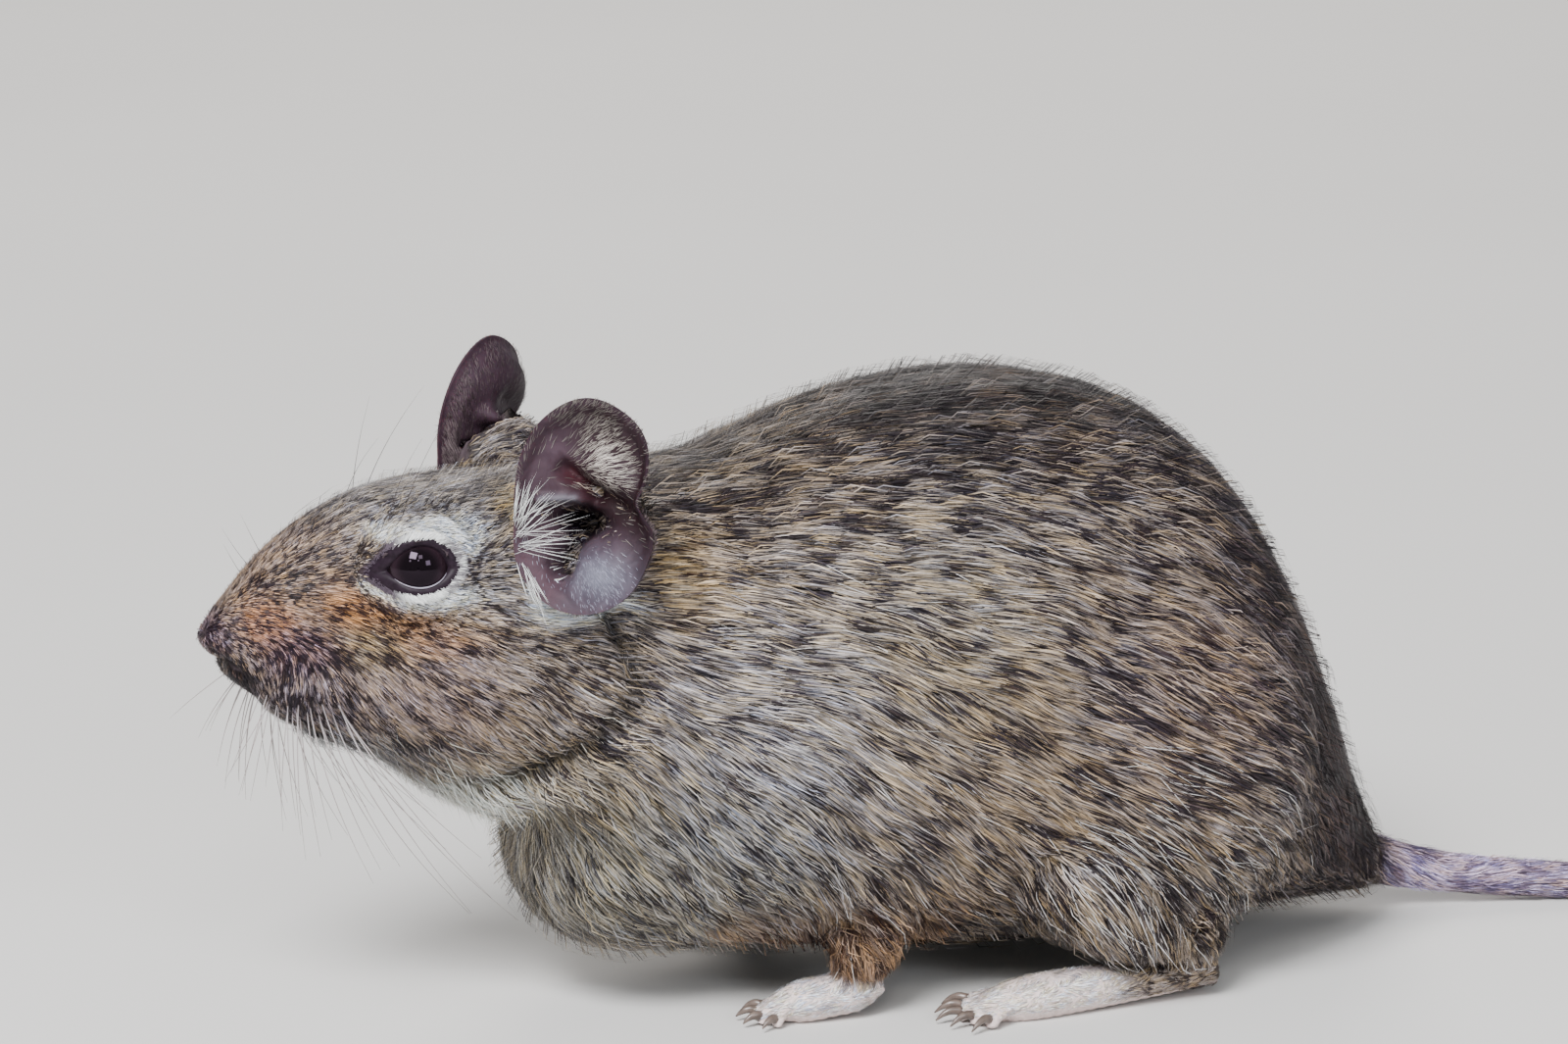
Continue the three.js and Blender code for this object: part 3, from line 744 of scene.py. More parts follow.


# Markings, with painted shade on the back and the rump: every place has a pale colour, a dark colour and the
# share of dark hairs

MARKINGS_AND_SHADE = [
    # centre (x, off the middle, z), reach, strength, pale, dark, share of dark
    # the back: its own darker hair, and painted shade where the top turns from the light
    ((92, 0, 76), (46, 20, 12), 0.95, (0.125, 0.095, 0.080), (0.020, 0.012, 0.013), 0.74),
    # the rump: its own colour darkened by painted shade; then the lower haunch, dark as painted shadow
    ((127, 14, 52), (12, 22, 22), 0.8, (0.17, 0.145, 0.145), (0.040, 0.026, 0.034), 0.60),
    ((136, 12, 28), (11, 20, 24), 0.95, (0.095, 0.060, 0.062), (0.028, 0.014, 0.020), 0.62),
    ((58, 4, 66), (13, 12, 8), 0.7, (0.26, 0.22, 0.17), (0.048, 0.036, 0.034), 0.56),
    ((94, 30, 32), (12, 12, 11), 0.7, (0.42, 0.34, 0.24), (0.075, 0.055, 0.050), 0.42),
    ((76, 26, 48), (14, 14, 12), 0.7, (0.54, 0.48, 0.37), (0.085, 0.070, 0.066), 0.38),
    ((108, 32, 40), (13, 14, 14), 0.6, (0.41, 0.33, 0.29), (0.090, 0.064, 0.066), 0.44),
    ((98, 30, 14), (26, 18, 9), 0.7, (0.36, 0.33, 0.30), (0.042, 0.030, 0.034), 0.50),
    ((58, 24, 40), (12, 14, 15), 0.7, (0.56, 0.56, 0.58), (0.095, 0.085, 0.092), 0.36),
    ((52, 18, 20), (14, 14, 11), 0.7, (0.44, 0.46, 0.44), (0.060, 0.054, 0.058), 0.42),
    ((41, 8, 22), (8, 14, 10), 0.8, (0.40, 0.37, 0.28), (0.050, 0.042, 0.038), 0.42),
    ((90, 0, 3), (50, 18, 6), 0.8, (0.52, 0.46, 0.37), (0.17, 0.14, 0.11), 0.28),
    ((22, 0, 65), (16, 9, 6), 0.85, (0.50, 0.50, 0.51), (0.075, 0.065, 0.072), 0.52),
    ((9, 3, 56), (7, 7, 5), 0.8, (0.42, 0.33, 0.28), (0.075, 0.052, 0.048), 0.52),
    ((5.6, 5.3, 50.4), (2.8, 4, 2.4), 0.9, (0.58, 0.29, 0.15), (0.085, 0.034, 0.034), 0.46),
    ((15.5, 9.3, 52.3), (4.5, 5, 2.4), 0.95, (0.64, 0.34, 0.15), (0.090, 0.038, 0.030), 0.42),
    ((22, 12.5, 49.4), (5.5, 6, 2.3), 0.95, (0.64, 0.37, 0.19), (0.090, 0.042, 0.034), 0.40),
    ((16, 9.5, 48.0), (4, 6, 2.2), 0.7, (0.48, 0.40, 0.22), (0.080, 0.058, 0.040), 0.44),
    ((9, 7.5, 47.4), (3.8, 5, 2.6), 0.95, (0.36, 0.24, 0.28), (0.045, 0.018, 0.038), 0.66),
    ((11, 8, 42.0), (6.0, 6, 3.8), 0.95, (0.35, 0.30, 0.33), (0.040, 0.025, 0.036), 0.62),
    ((24, 14, 43), (8, 8, 5), 0.75, (0.45, 0.38, 0.40), (0.068, 0.046, 0.054), 0.46),
    ((36, 16, 43), (7, 8, 7), 0.6, (0.46, 0.42, 0.38), (0.075, 0.058, 0.055), 0.44),
    ((14, 2, 34.5), (12, 7, 2.6), 0.85, (0.24, 0.24, 0.25), (0.07, 0.060, 0.066), 0.52),
    ((30, 8, 29.0), (9, 11, 4.0), 0.95, (0.66, 0.66, 0.58), (0.17, 0.155, 0.14), 0.22),
    ((41, 14, 31), (5, 9, 4), 0.6, (0.52, 0.44, 0.30), (0.085, 0.065, 0.050), 0.42),
    ((0.8, 1.5, 48.4), (2.6, 3.0, 2.2), 0.95, (0.30, 0.23, 0.28), (0.070, 0.042, 0.062), 0.50),
    ((4.0, 3.2, 43.4), (2.7, 2.9, 2.5), 0.97, (0.085, 0.060, 0.070), (0.020, 0.012, 0.018), 0.7),
    ((33.4, 9.0, 62.6), (1.9, 5, 3.2), 0.95, (0.52, 0.40, 0.19), (0.070, 0.050, 0.036), 0.48),
    ((50, 16, 54.5), (3.0, 6, 4.5), 0.7, (0.55, 0.42, 0.21), (0.095, 0.066, 0.050), 0.40),
    ((27, 13.5, 51.6), (3.0, 5, 1.6), 0.6, (0.62, 0.52, 0.40), (0.16, 0.12, 0.10), 0.28),
]
BASE = ((0.42, 0.37, 0.32), (0.075, 0.058, 0.058), 0.46)
PALE_PATCHES = [
    # centre, reach, strength
    ((25.2, 11.8, 60.9), (2.8, 4, 1.15), 1.0),
    ((20.5, 10, 60.4), (3.4, 4, 0.7), 0.75),
    ((28.6, 12.4, 60.0), (1.3, 4, 1.5), 0.6),
    ((23.4, 13.4, 53.7), (4.0, 5, 1.1), 1.0),
    ((18.4, 10.6, 54.9), (2.0, 4, 0.8), 0.9),
    ((39.4, 17, 51.8), (4.2, 6, 1.25), 1.0),
    ((34.8, 16, 54.3), (1.3, 5, 2.2), 0.8),
]
PATCH_DARK = (0.42, 0.44, 0.43)
ARM = ((0.33, 0.18, 0.075), (0.16, 0.08, 0.035))
FOOT = ((1.05, 1.10, 1.12), (1.6, 1.7, 1.3))
TAIL_TOP = ((0.86, 0.70, 0.93), (0.80, 0.68, 0.86))
TAIL_UNDER = ((0.22, 0.20, 0.17), (0.10, 0.09, 0.08))


def markings_and_shade(p):
    """Pale colour, dark colour and share of dark hairs at each place, with painted shade on the back, the
    rump and the lower haunch.
    """
    x, _, z = p.T
    look = np.tile(np.hstack(BASE), (len(p), 1))
    colours, pale, dark, share = look[:, :6], look[:, :3], look[:, 3:6], look[:, 6]
    for centre, reach, strength, *spot in MARKINGS_AND_SHADE:
        blend(look, np.hstack(spot), strength * np.minimum(1, 1.6 * bell(p, centre, reach)))
    for centre, reach, strength in PALE_PATCHES:
        w = strength * np.minimum(1, 2.6 * bell(p, centre, reach))
        blend(pale, WHITE_HAIR / PALE_GAIN, w)
        blend(dark, PATCH_DARK, w)
        share *= 1 - 0.76 * w
    blend(colours, np.hstack(ARM), 0.75 * on_leg(p) * (1 - smooth(8, 22, z)) * (x < 84))
    foot = (1 - smooth(3.5, 6.5, z)) * on_leg(p) * (1 - smooth(100, 108, x))
    blend(colours, np.hstack(FOOT), foot)
    share *= 1 - 0.5 * foot
    under = 1 - smooth(1.2, 3.2, z)
    toward_tip = 1 - 0.75 * smooth(150, 205, x)
    tail = np.outer(toward_tip, np.hstack(TAIL_TOP)) + np.outer(under, np.hstack(TAIL_UNDER))
    blend(colours, tail, smooth(146, 154, x))
    ticks = noise(p * [0.45, 1, 1], 1.3, 5) + 0.6 * noise(p * [0.5, 1, 1], 2.6, 6)
    share = np.clip(share + 0.16 * ticks + 0.05 * noise(p, 9, 5), 0.04, 0.96)
    warm = 1 + 0.10 * noise(p, 14, 8)[:, None] * np.array([1.0, 0.3, -0.9])
    return pale * warm * PALE_GAIN, dark * warm * DARK_GAIN, share


def under_coat(p):
    """Colour of the skin where hair covers it."""
    pale, dark, _ = markings_and_shade(p)
    return 0.42 * (dark + 0.22 * pale)


# The lie of the coat

def lie(p, n):
    """The direction in which the hair lies, along the skin."""
    x, z = p[:, 0], p[:, 2]
    side = np.sign(p[:, 1])
    head = 1 - smooth(26, 48, x - 0.5 * (z - 45))
    from_nose = unit(p - np.array([-7.0, 0, 52.0]))
    from_nose[:, 2] -= 0.12
    whorl = p - np.array([9.5, 0, 48.0])
    whorl[:, 1] = 0.35 * side
    pad = 0.9 * bell(p, (10.5, 7.5, 43.5), (5.5, 6, 4.8))[:, None]
    from_nose = unit(from_nose + pad * (unit(whorl) + [0, 0, -0.5] - from_nose))
    low = 1 - smooth(14, 62, z)
    down = 0.22 + 0.55 * low + 0.25 * smooth(95, 135, x)
    body = np.stack([np.ones(len(p)), 0.06 * side, -down], 1)
    direction = head[:, None] * from_nose + (1 - head)[:, None] * unit(body)
    leg = (1 - smooth(8, 26, z)) * smooth(11, 16, np.abs(p[:, 1]))
    fore = leg * smooth(58, 66, x) * (1 - smooth(80, 88, x))
    hind = leg * smooth(88, 94, x) * (1 - smooth(118, 126, x))
    blend(direction, (0.25, 0, -1.0), fore)
    blend(direction, (0.35, 0, -0.9), 0.7 * hind)
    foot = leg * (1 - smooth(3.5, 5.5, z)) * smooth(56, 60, x) * (1 - smooth(116, 122, x))
    blend(direction, (-1.0, 0, -0.15), foot)
    path = curve(TAIL, 160)[:, :3]
    along = unit(np.gradient(path, axis=0))
    nearest = np.clip(np.searchsorted(path[:, 0], x), 0, len(path) - 1)
    blend(direction, along[nearest], smooth(144, 152, x))
    swirl = 0.26 * noise(p, 11, 21) + 0.24 * noise(p, 4, 22)
    direction = unit(flat_on(n, direction))
    return unit(direction + swirl[:, None] * np.cross(n, direction))


def hair_length(p):
    """Length of the short coat's hair."""
    x, _, z = p.T
    length = head_to_body(p, HAIR_LENGTH, (28, 50), (3, 22))
    length *= 1 - 0.55 * bell(p, (1.5, 2, 46.5), (3.2, 3.5, 4.0))
    length = fade(length, HAIR_LENGTH["foot"], (1 - smooth(4, 14, z)) * on_leg(p))
    length += 2.0 * bell(p, (30, 6, 29.5), (9, 9, 3.5)) + 1.2 * bell(p, (15, 3, 35), (9, 6, 3))
    length = fade(length, HAIR_LENGTH["tail"], smooth(143, 153, x))
    return length * (1 - 0.66 * near_eye(p, 9.5))


def density(p):
    """Hairs for each square millimetre of the body: none on the lids and in the ears and nostrils."""
    x, _, z = p.T
    wanted = head_to_body(p, HAIR_DENSITY, (34, 52), (5, 24))
    wanted = fade(wanted, HAIR_DENSITY["tail"], smooth(143, 153, x))
    wanted = np.where(on_leg(p) & (z < 5.2), 0, wanted)
    wanted = np.where((z < 7) & (x < TAIL_START), 0.6 * wanted, wanted)
    for name, side in SIDES.items():
        across, upward, out = seen_from(p, eye_centre(name)[0], facing(EYE_LOOK, UP, side))
        outline = almond(LID_OUTLINE, 72) * [1.06, 0.98] - [0.45, 0.0]
        edge = np.interp(np.arctan2(upward, across), *polar_outline(outline))
        lids = (np.hypot(across, upward) < edge) & (out > 0) & (out < 7)
        wanted = np.where(lids, 0, wanted)
        across, upward, out = seen_from(p, mirror(EAR_CENTRE, side), ear_axes(side))
        cup = (np.hypot(across, upward) < 7.6) & (out < 1.5) & (out > -12)
        wanted = np.where(cup & (out > -ear_hollow(across, upward, 0.4) - 1.6), 0, wanted)
    return np.where(nostril_nearness(p, 0.8) > 0.3, 0, wanted)


def foot_density(p):
    """Hairs for each square millimetre of the feet, with none on the soles."""
    x, _, z = p.T
    heel = 1 + 1.2 * smooth(100, 108, x)
    return np.where((z > 1.3) & (z < 10.5), HAIR_DENSITY["foot"] * heel, 0)


def polar_outline(outline):
    """An outline as distance against direction, for looking up."""
    angle = np.arctan2(outline[:, 1], outline[:, 0])
    order = np.argsort(angle)
    angle, radius = angle[order], np.hypot(*outline[order].T)
    turn = 2 * math.pi
    return np.concatenate([angle - turn, angle, angle + turn]), np.tile(radius, 3)


def clumps(p, size, rng_seed):
    """For each point the number of the clump it belongs to: the nearest of scattered seeds."""
    q = p / size
    cell = np.floor(q).astype(np.int64)
    best = np.full(len(p), 1e9)
    owner = np.zeros((len(p), 3), np.int64)
    for shift in np.ndindex(3, 3, 3):
        other = cell + np.array(shift) - 1
        seed = other + np.stack([lattice(other, rng_seed + k) for k in range(3)], 1)
        gap = ((q - seed) ** 2).sum(1)
        closer = gap < best
        best[closer] = gap[closer]
        owner[closer] = other[closer]
    _, number = np.unique(owner, axis=0, return_inverse=True)
    return number.reshape(-1)


def mean_by(number, values):
    count = np.bincount(number)
    return np.stack([np.bincount(number, values[:, k]) / count for k in range(values.shape[1])], 1)


def unwrap(p):
    """A place from 0 to 1 on the unrolled skin: round the body's middle line, and along it."""
    spine = np.interp(p[:, 0], [0, 20, 45, 90, 130, 150, 260], [47, 48, 45, 38, 26, 7, 2])
    middle = np.interp(p[:, 0], [140, 176, 216, 236, 262], [0, -4.5, -18, -21, -16])
    angle = np.arctan2(p[:, 1] - middle, p[:, 2] - spine)
    return np.stack([0.5 + 0.99 * angle / (2 * math.pi), 0.01 + 0.98 * np.clip(p[:, 0] / 268, 0, 1)], 1)


PATCH = 0.003  # size of a tuft on the unrolled skin
BLADE_FACES = [(0, 3, 1), (0, 2, 3), (2, 4, 3)]
BLADE_PATCH = [(-0.5, -0.5), (0.5, -0.5), (-0.5, 0.1), (0.5, 0.1), (0, 0.5)]
LONG_FACES = [(0, 1, 3), (0, 3, 2), (2, 3, 5), (2, 5, 4), (4, 5, 6)]
LONG_PATCH = [(-0.5, -0.5), (0.5, -0.5), (-0.5, -0.2), (0.5, -0.2), (-0.5, 0.1), (0.5, 0.1), (0, 0.5)]
LONG_JOINTS = [(0, 0.75), (0.3, 1.0), (0.62, 0.7), (1.0, 0.0)]  # share of the length, share of the width


def blade_mesh(name, rows, blade, patch, tints, roots, lowest, slot, material, shade=None):
    """One mesh of equal blades. Each row holds one point of every blade, and each tint its colour."""
    points = np.stack(rows, 1).reshape(-1, 3)
    keep_above(points, lowest)
    faces = (np.arange(len(roots))[:, None, None] * len(rows) + np.array(blade)).reshape(-1, 3)
    piece = make_mesh(name, points, faces, material)
    set_colours(piece, np.stack(tints, 1).reshape(-1, 3))
    spots = (unwrap(roots)[:, None] + PATCH * np.array(patch)).reshape(-1, 2)
    layer = piece.data.uv_layers.new(name="OFBake")
    layer.data.foreach_set("uv", spots[faces.ravel()].astype(np.float32).ravel())
    if shade is not None:
        shade = np.repeat(shade, len(rows), axis=0).astype(np.float32)
        piece.data.normals_split_custom_set_from_vertices(shade)
    return finish_piece(piece, slot)


def lay_blades(name, coat, chosen, slot, material):
    """Short blades, each with two root points, two middle points and a tip."""
    root, normal, mid, tip, width, shade = (
        coat[part][chosen] for part in ("root", "normal", "mid", "tip", "width", "shade"))
    half = unit(np.cross(normal, tip - root)) * width[:, None] / 2
    rows = [root - half * 0.8, root + half * 0.8, mid - half, mid + half, tip]
    tints = [coat["colours"][k][chosen] for k in (0, 0, 1, 1, 2)]
    blade_mesh(name, rows, BLADE_FACES, BLADE_PATCH, tints, root, 0.03, slot, material, shade)


def blade_colours(coat, number, rng):
    """Root, middle and tip colours: dark at the root, with a pale band and a dark or pale tip."""
    p = coat["root"]
    pale, dark, share = markings_and_shade(p)
    clump = np.stack([number, number * 0 + 3, number * 0 + 7], 1)
    mixed = 0.5 + 0.12 * smooth(35, 55, p[:, 0])
    streak = mixed * lattice(clump, 4) + (1 - mixed) * rng.random(len(p))
    is_dark = 1 - smooth(share - 0.09, share + 0.09, streak)
    tone = (0.50 + 1.05 * rng.random(len(p)) ** 1.4)[:, None]
    hue = 0.75 * (lattice(clump, 9) - 0.5) + 0.85 * (rng.random(len(p)) - 0.5)
    hue = 1 + hue[:, None] * np.array([0.26, 0.06, -0.42])
    mid = (pale + is_dark[:, None] * (dark - pale)) * tone * hue
    tip_dark = np.clip(is_dark + 0.5 * (rng.random(len(p)) < 0.25), 0, 1)[:, None]
    tip = (pale * 1.25 + tip_dark * (dark * 0.7 - pale * 1.25)) * tone * hue
    root = 0.4 * dark + 0.08 * pale
    return [colour * crease_shade(coat[part])[:, None]
            for colour, part in ((root, "root"), (mid, "mid"), (tip, "tip"))]


def crease_shade(p):
    return 1 - 0.72 * fold_nearness(p, 1.1) * smooth(24, 32, p[:, 0])


def on_surface(tree, face_normals, wanted):
    """The nearest place of the skin to each wanted place, and the skin's direction there."""
    place = np.empty_like(wanted)
    face = np.empty(len(wanted), int)
    for i, point in enumerate(wanted.tolist()):
        place[i], _, face[i], _ = tree.find_nearest(point)
    return place, face_normals[face]


def sprout(points, faces, hairs_at, seed):
    """Roots over a skin, with the middle and tip of every blade laid along it."""
    rng = np.random.default_rng(seed)
    normals = normals_of(points, faces)
    corner = points[faces]
    middle = corner.mean(1)
    area = np.linalg.norm(np.cross(corner[:, 1] - corner[:, 0], corner[:, 2] - corner[:, 0]), axis=1) / 2
    wanted = area * hairs_at(middle)
    count = np.floor(wanted + rng.random(len(wanted))).astype(int)
    face = np.repeat(np.arange(len(faces)), count)
    u, v = rng.random((2, len(face)))
    flip = u + v > 1
    u[flip], v[flip] = 1 - u[flip], 1 - v[flip]
    share = np.stack([1 - u - v, u, v], 1)[..., None]
    root = (corner[face] * share).sum(1)
    normal = unit((normals[faces[face]] * share).sum(1))

    along = lie(root, normal)
    spin = rng.normal(0, 0.15, len(root))[:, None]
    along = unit(along + spin * np.cross(normal, along))
    length = hair_length(root) * (0.7 + 0.5 * rng.random(len(root)))
    depth = np.maximum(coat_depth(root), 0.25)[:, None]
    rise = (0.6 + 0.6 * rng.random(len(root)) + 1.1 * (rng.random(len(root)) < 0.05))[:, None]
    tree = BVHTree.FromPolygons(points.tolist(), faces.tolist())
    face_normals = unit(normals[faces].mean(1))
    mid_place, mid_normal = on_surface(tree, face_normals, root + along * (length * 0.5)[:, None])
    tip_place, tip_normal = on_surface(tree, face_normals, root + along * length[:, None])
    mid = mid_place + mid_normal * depth * rise * 0.85
    tip = tip_place + tip_normal * depth * rise

    # Blades gather into tufts, finer on the head
    x = root[:, 0]
    face = x < 46
    number = np.where(face, clumps(root, TUFT["face"], 31), 0)
    number = np.where(face, number, clumps(root * [0.8, 1, 1], TUFT["body"], 37) + number.max() + 1)
    _, number = np.unique(number, return_inverse=True)
    tip += 0.5 * (mean_by(number, tip)[number] - tip)
    mid += 0.22 * (mean_by(number, mid)[number] - mid)
    lock = clumps(root * [0.6, 1, 1], TUFT["lock"], 41)
    loose = (0.34 * smooth(40, 60, x) * (1 - smooth(140, 150, x)))[:, None]
    tip += loose * (mean_by(lock, tip)[lock] - tip)
    mid += 0.3 * loose * (mean_by(lock, mid)[lock] - mid)
    width = (0.072 + 0.0125 * length) * (0.75 + 0.4 * rng.random(len(root)))
    coat = {"root": root - normal * 0.1, "normal": normal, "mid": mid, "tip": tip, "width": width,
            "shade": unit(normal + 0.15 * along + rng.normal(0, 0.24, root.shape))}
    coat["colours"] = blade_colours(coat, number, rng)
    return coat


def grow_coat(skin, feet, material):
    """Blades over the whole skin, in pieces by place."""
    coat = sprout(*skin, density, SEEDS["coat"])
    place = coat["root"][:, 0]
    tail = place > TAIL_START
    order = np.argsort(place)
    order = order[~tail[order]]
    pieces = np.array_split(order, math.ceil(len(order) / BLADES_PER_PIECE))
    for number, chosen in enumerate(pieces, 1):
        lay_blades(f"coat_{number}", coat, chosen, "coat", material)
    lay_blades("coat_tail", coat, np.flatnonzero(tail), "tail_coat", material)
    coat = sprout(*feet, foot_density, SEEDS["feet"])
    lay_blades("coat_feet", coat, np.arange(len(coat["root"])), "coat", material)


# Longer hair

def long_hairs(name, roots, normals, directions, lengths, lift, droop, width, colours, material, slot="coat",
               lay=None):
    """Blades of four joints that may curve. With lay they follow the skin as well."""
    across = unit(np.cross(normals, directions))
    width = np.broadcast_to(width, len(roots))
    rows, tints = [], []
    for s, w in LONG_JOINTS:
        middle = roots + directions * (lengths * s)[:, None]
        rise = (lengths * lift * (s - droop * s * s))[:, None]
        if lay:
            middle, out = lay(middle)
            middle += out * (1.2 + rise) * min(1, 4 * s)
        else:
            middle += normals * rise
        half = across * (width * w / 2)[:, None]
        tint = colours[0] + s * (colours[1] - colours[0])
        rows += [middle - half, middle + half] if w else [middle]
        tints += [tint, tint] if w else [tint]
    return blade_mesh(name, rows, LONG_FACES, LONG_PATCH, tints, roots, 0.05, slot, material)


def grow_brush(material):
    """The tail's brush: long black hairs from the last quarter of the tail."""
    rng = np.random.default_rng(SEEDS["brush"])
    count = 9000
    path = curve(TAIL, 400)
    share = 0.74 + 0.26 * rng.random(count) ** 0.8
    index = np.clip((share * 399).astype(int), 0, 399)
    along = unit(np.gradient(path[:, :3], axis=0))[index]
    side = unit(np.cross(UP, along))
    over = np.cross(along, side)
    angle = rng.random(count) * 2 * math.pi
    out = side * np.cos(angle)[:, None] + over * np.sin(angle)[:, None]
    roots = path[index, :3] + out * (path[index, 3] * 0.7)[:, None]
    grown = smooth(0.74, 0.86, share)
    length = (5 + 10.5 * grown * (0.35 + 0.75 * rng.random(count))) * (1 - 0.16 * smooth(0.94, 1.0, share))
    direction = unit(along + out * 0.12 + rng.normal(0, 0.05, out.shape))
    base = np.outer(0.6 + rng.random(count), [0.020, 0.016, 0.017])
    tips = base * (1 + 1.2 * rng.random(count))[:, None]
    width = 0.16 + 0.05 * rng.random(count)
    brush = long_hairs("tail_brush_hair", roots, out, direction, length, 0.30, 0.5, width, (base, tips),
                       material, "tail_brush")
    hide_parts("tail_brush")


GUARD_FIELDS = [
    # centre, reach, count, length, colour
    ((104, 30, 20), (14, 12, 9), 420, 8.0, (0.80, 0.78, 0.76)),
    ((122, 20, 40), (12, 20, 18), 260, 7.0, (0.16, 0.11, 0.12)),
    ((92, 8, 72), (40, 22, 14), 700, 6.5, (0.040, 0.028, 0.028)),
    ((50, 14, 20), (12, 12, 12), 260, 6.5, (0.62, 0.60, 0.52)),
    ((64, 24, 32), (14, 12, 16), 420, 6.5, (0.70, 0.68, 0.66)),
    ((30, 6, 29.5), (9, 9, 2.4), 420, 4.6, (0.82, 0.84, 0.78)),
    ((15, 3, 35), (9, 6, 2.2), 200, 2.8, (0.34, 0.34, 0.34)),
]


def grow_guard_hairs(points, faces, tree, material):
    """Long hairs that stand out of the coat, pale on the lower flank and dark on the back."""
    rng = np.random.default_rng(SEEDS["long"])
    normals = normals_of(points, faces)
    chosen, lengths, tints = [], [], []
    for centre, reach, count, length, tint in GUARD_FIELDS:
        weight = bell(points, centre, reach) * (points[:, 2] > 6)
        chosen.append(rng.choice(len(points), count, p=weight / weight.sum()))
        lengths.append(length * (0.75 + 0.5 * rng.random(count)))
        tints.append(np.outer(0.8 + 0.4 * rng.random(count), tint))
    chosen, lengths, tints = (np.concatenate(values) for values in (chosen, lengths, tints))
    roots, outs = points[chosen], normals[chosen]
    along = lie(roots, outs)
    along = unit(along + 0.18 * rng.normal(size=(len(roots), 1)) * np.cross(outs, along))
    face_normals = unit(normals[faces].mean(1))
    long_hairs("guard_hairs", roots, outs, along, lengths, 0.30, 0.6, 0.11, (tints * 0.5, tints), material,
               lay=lambda wanted: on_surface(tree, face_normals, wanted))
    grow_throat_hair(points, normals, rng, material)


def grow_throat_hair(points, normals, rng, material):
    """Ragged pale hair that hangs from the throat."""
    count = 900
    weight = bell(points, (29, 5, 28.5), (11, 10, 3.0)) * (normals[:, 2] < 0.1)
    chosen = rng.choice(len(points), count, p=weight / weight.sum())
    roots, outs = points[chosen], normals[chosen]
    along = unit(lie(roots, outs) + [0.1, 0, -0.55] + 0.22 * rng.normal(size=roots.shape))
    tint = np.outer(0.55 + 0.4 * rng.random(count), [0.90, 0.92, 0.86])
    length = 4.8 * (0.6 + 0.6 * rng.random(count))
    long_hairs("throat_hair", roots, outs, along, length, 0.30, 0.5, 0.12, (tint * 0.5, tint), material)


# Ears

def build_ear(side_name, side, materials):
    """One ear, with its hollows, folds and colours (painted shade in its fold and deep cup, a painted
    highlight on a ridge and painted sheen on the lower lobe), and then its hair.
    """
    share, angle = ear_grid(np.sin(np.linspace(0.01, 1, 44) * math.pi / 2), 144)
    front = ear_points(side, angle, share)
    thickness = EAR_THICKNESS * (0.45 + 0.55 * (1 - smooth(0.75, 1.0, share)))
    thickness -= 0.12 * (1 - smooth(0.0, 0.1, 1 - share))
    points, faces = shell(front, front - thickness[..., None] * ear_axes(side)[2])
    if side > 0:
        faces = faces[:, ::-1]

    across, upward = (value.ravel() for value in ear_place(angle, share * ear_rim(angle)))
    rim = share.ravel()
    depth = ear_hollow(across, upward, rim)
    colour = np.tile([0.050, 0.030, 0.040], (len(rim), 1))
    for weight, tint in (
        (0.9 * hill(across, upward, (1.5, 10.5), (6.0, 5.4)), (0.026, 0.014, 0.017)),
        (0.8 * hill(across, upward, (-4.2, 9.2), (2.2, 3.0)), (0.062, 0.038, 0.052)),
        # painted shade along the fold under the upper lobe, over the ear's own red-brown
        (0.95 * along_line(across, upward, (-2.8, 6.8), (0.4, 5.0), 1.3), (0.040, 0.010, 0.014)),
        (0.95 * along_line(across, upward, (2.0, 4.4), (7.4, 2.6), 2.6), (0.010, 0.003, 0.004)),
        (0.9 * along_line(across, upward, (8.6, 13.0), (7.2, 6.6), 2.3), (0.012, 0.004, 0.006)),
        (0.85 * along_line(across, upward, (8.4, 4.0), (8.4, -3.0), 1.7), (0.014, 0.006, 0.009)),
        # painted highlight: a pale line along the raised ridge across the cup
        (0.6 * along_line(across, upward, (-5.0, 3.5), (-1.6, 4.0), 0.5), (0.17, 0.17, 0.20)),
        # the lower lobe: its own lilac-grey, lightened by painted sheen, brightest at the middle
        (0.95 * hill(across, upward, (3.3, -4.6), (4.0, 3.1)), (0.115, 0.110, 0.145)),
        (0.6 * hill(across, upward, (3.2, -4.4), (2.4, 1.7)), (0.17, 0.175, 0.22)),
        (0.7 * along_line(across, upward, (-6.0, -3.5), (-2.5, -7.0), 1.2), (0.080, 0.045, 0.058)),
        # painted shade: near black where the cup lies deepest
        (1.0 * smooth(3.2, 5.6, depth), (0.008, 0.004, 0.008)),
        (0.8 * smooth(0.93, 1.0, rim) * smooth(-2, 5, upward), (0.030, 0.017, 0.026)),
    ):
        blend(colour, tint, weight)
    outer = np.tile([0.040, 0.022, 0.032], (len(rim), 1))
    add_piece(f"ear_{side_name}_skin", "ear_skin", points, faces, materials["ear"],
              np.concatenate([colour, outer]), [f"ear_{side_name}"])
    rng = np.random.default_rng(SEEDS[side_name])
    for grow in (grow_ear_down, grow_ear_back, grow_ear_fringe):
        grow(side_name, side, rng, materials["coat"])


def ear_normal(side, angle, share, deeper=0.0):
    """The ear's surface and its direction at each place."""
    here = ear_points(side, angle, share, deeper)
    round_step = ear_points(side, angle + 1.0, share, deeper) - here
    out_step = ear_points(side, angle, share + 0.01, deeper) - here
    normal = unit(np.cross(out_step, round_step))
    return here, normal * np.sign(normal @ ear_axes(side)[2])[:, None]


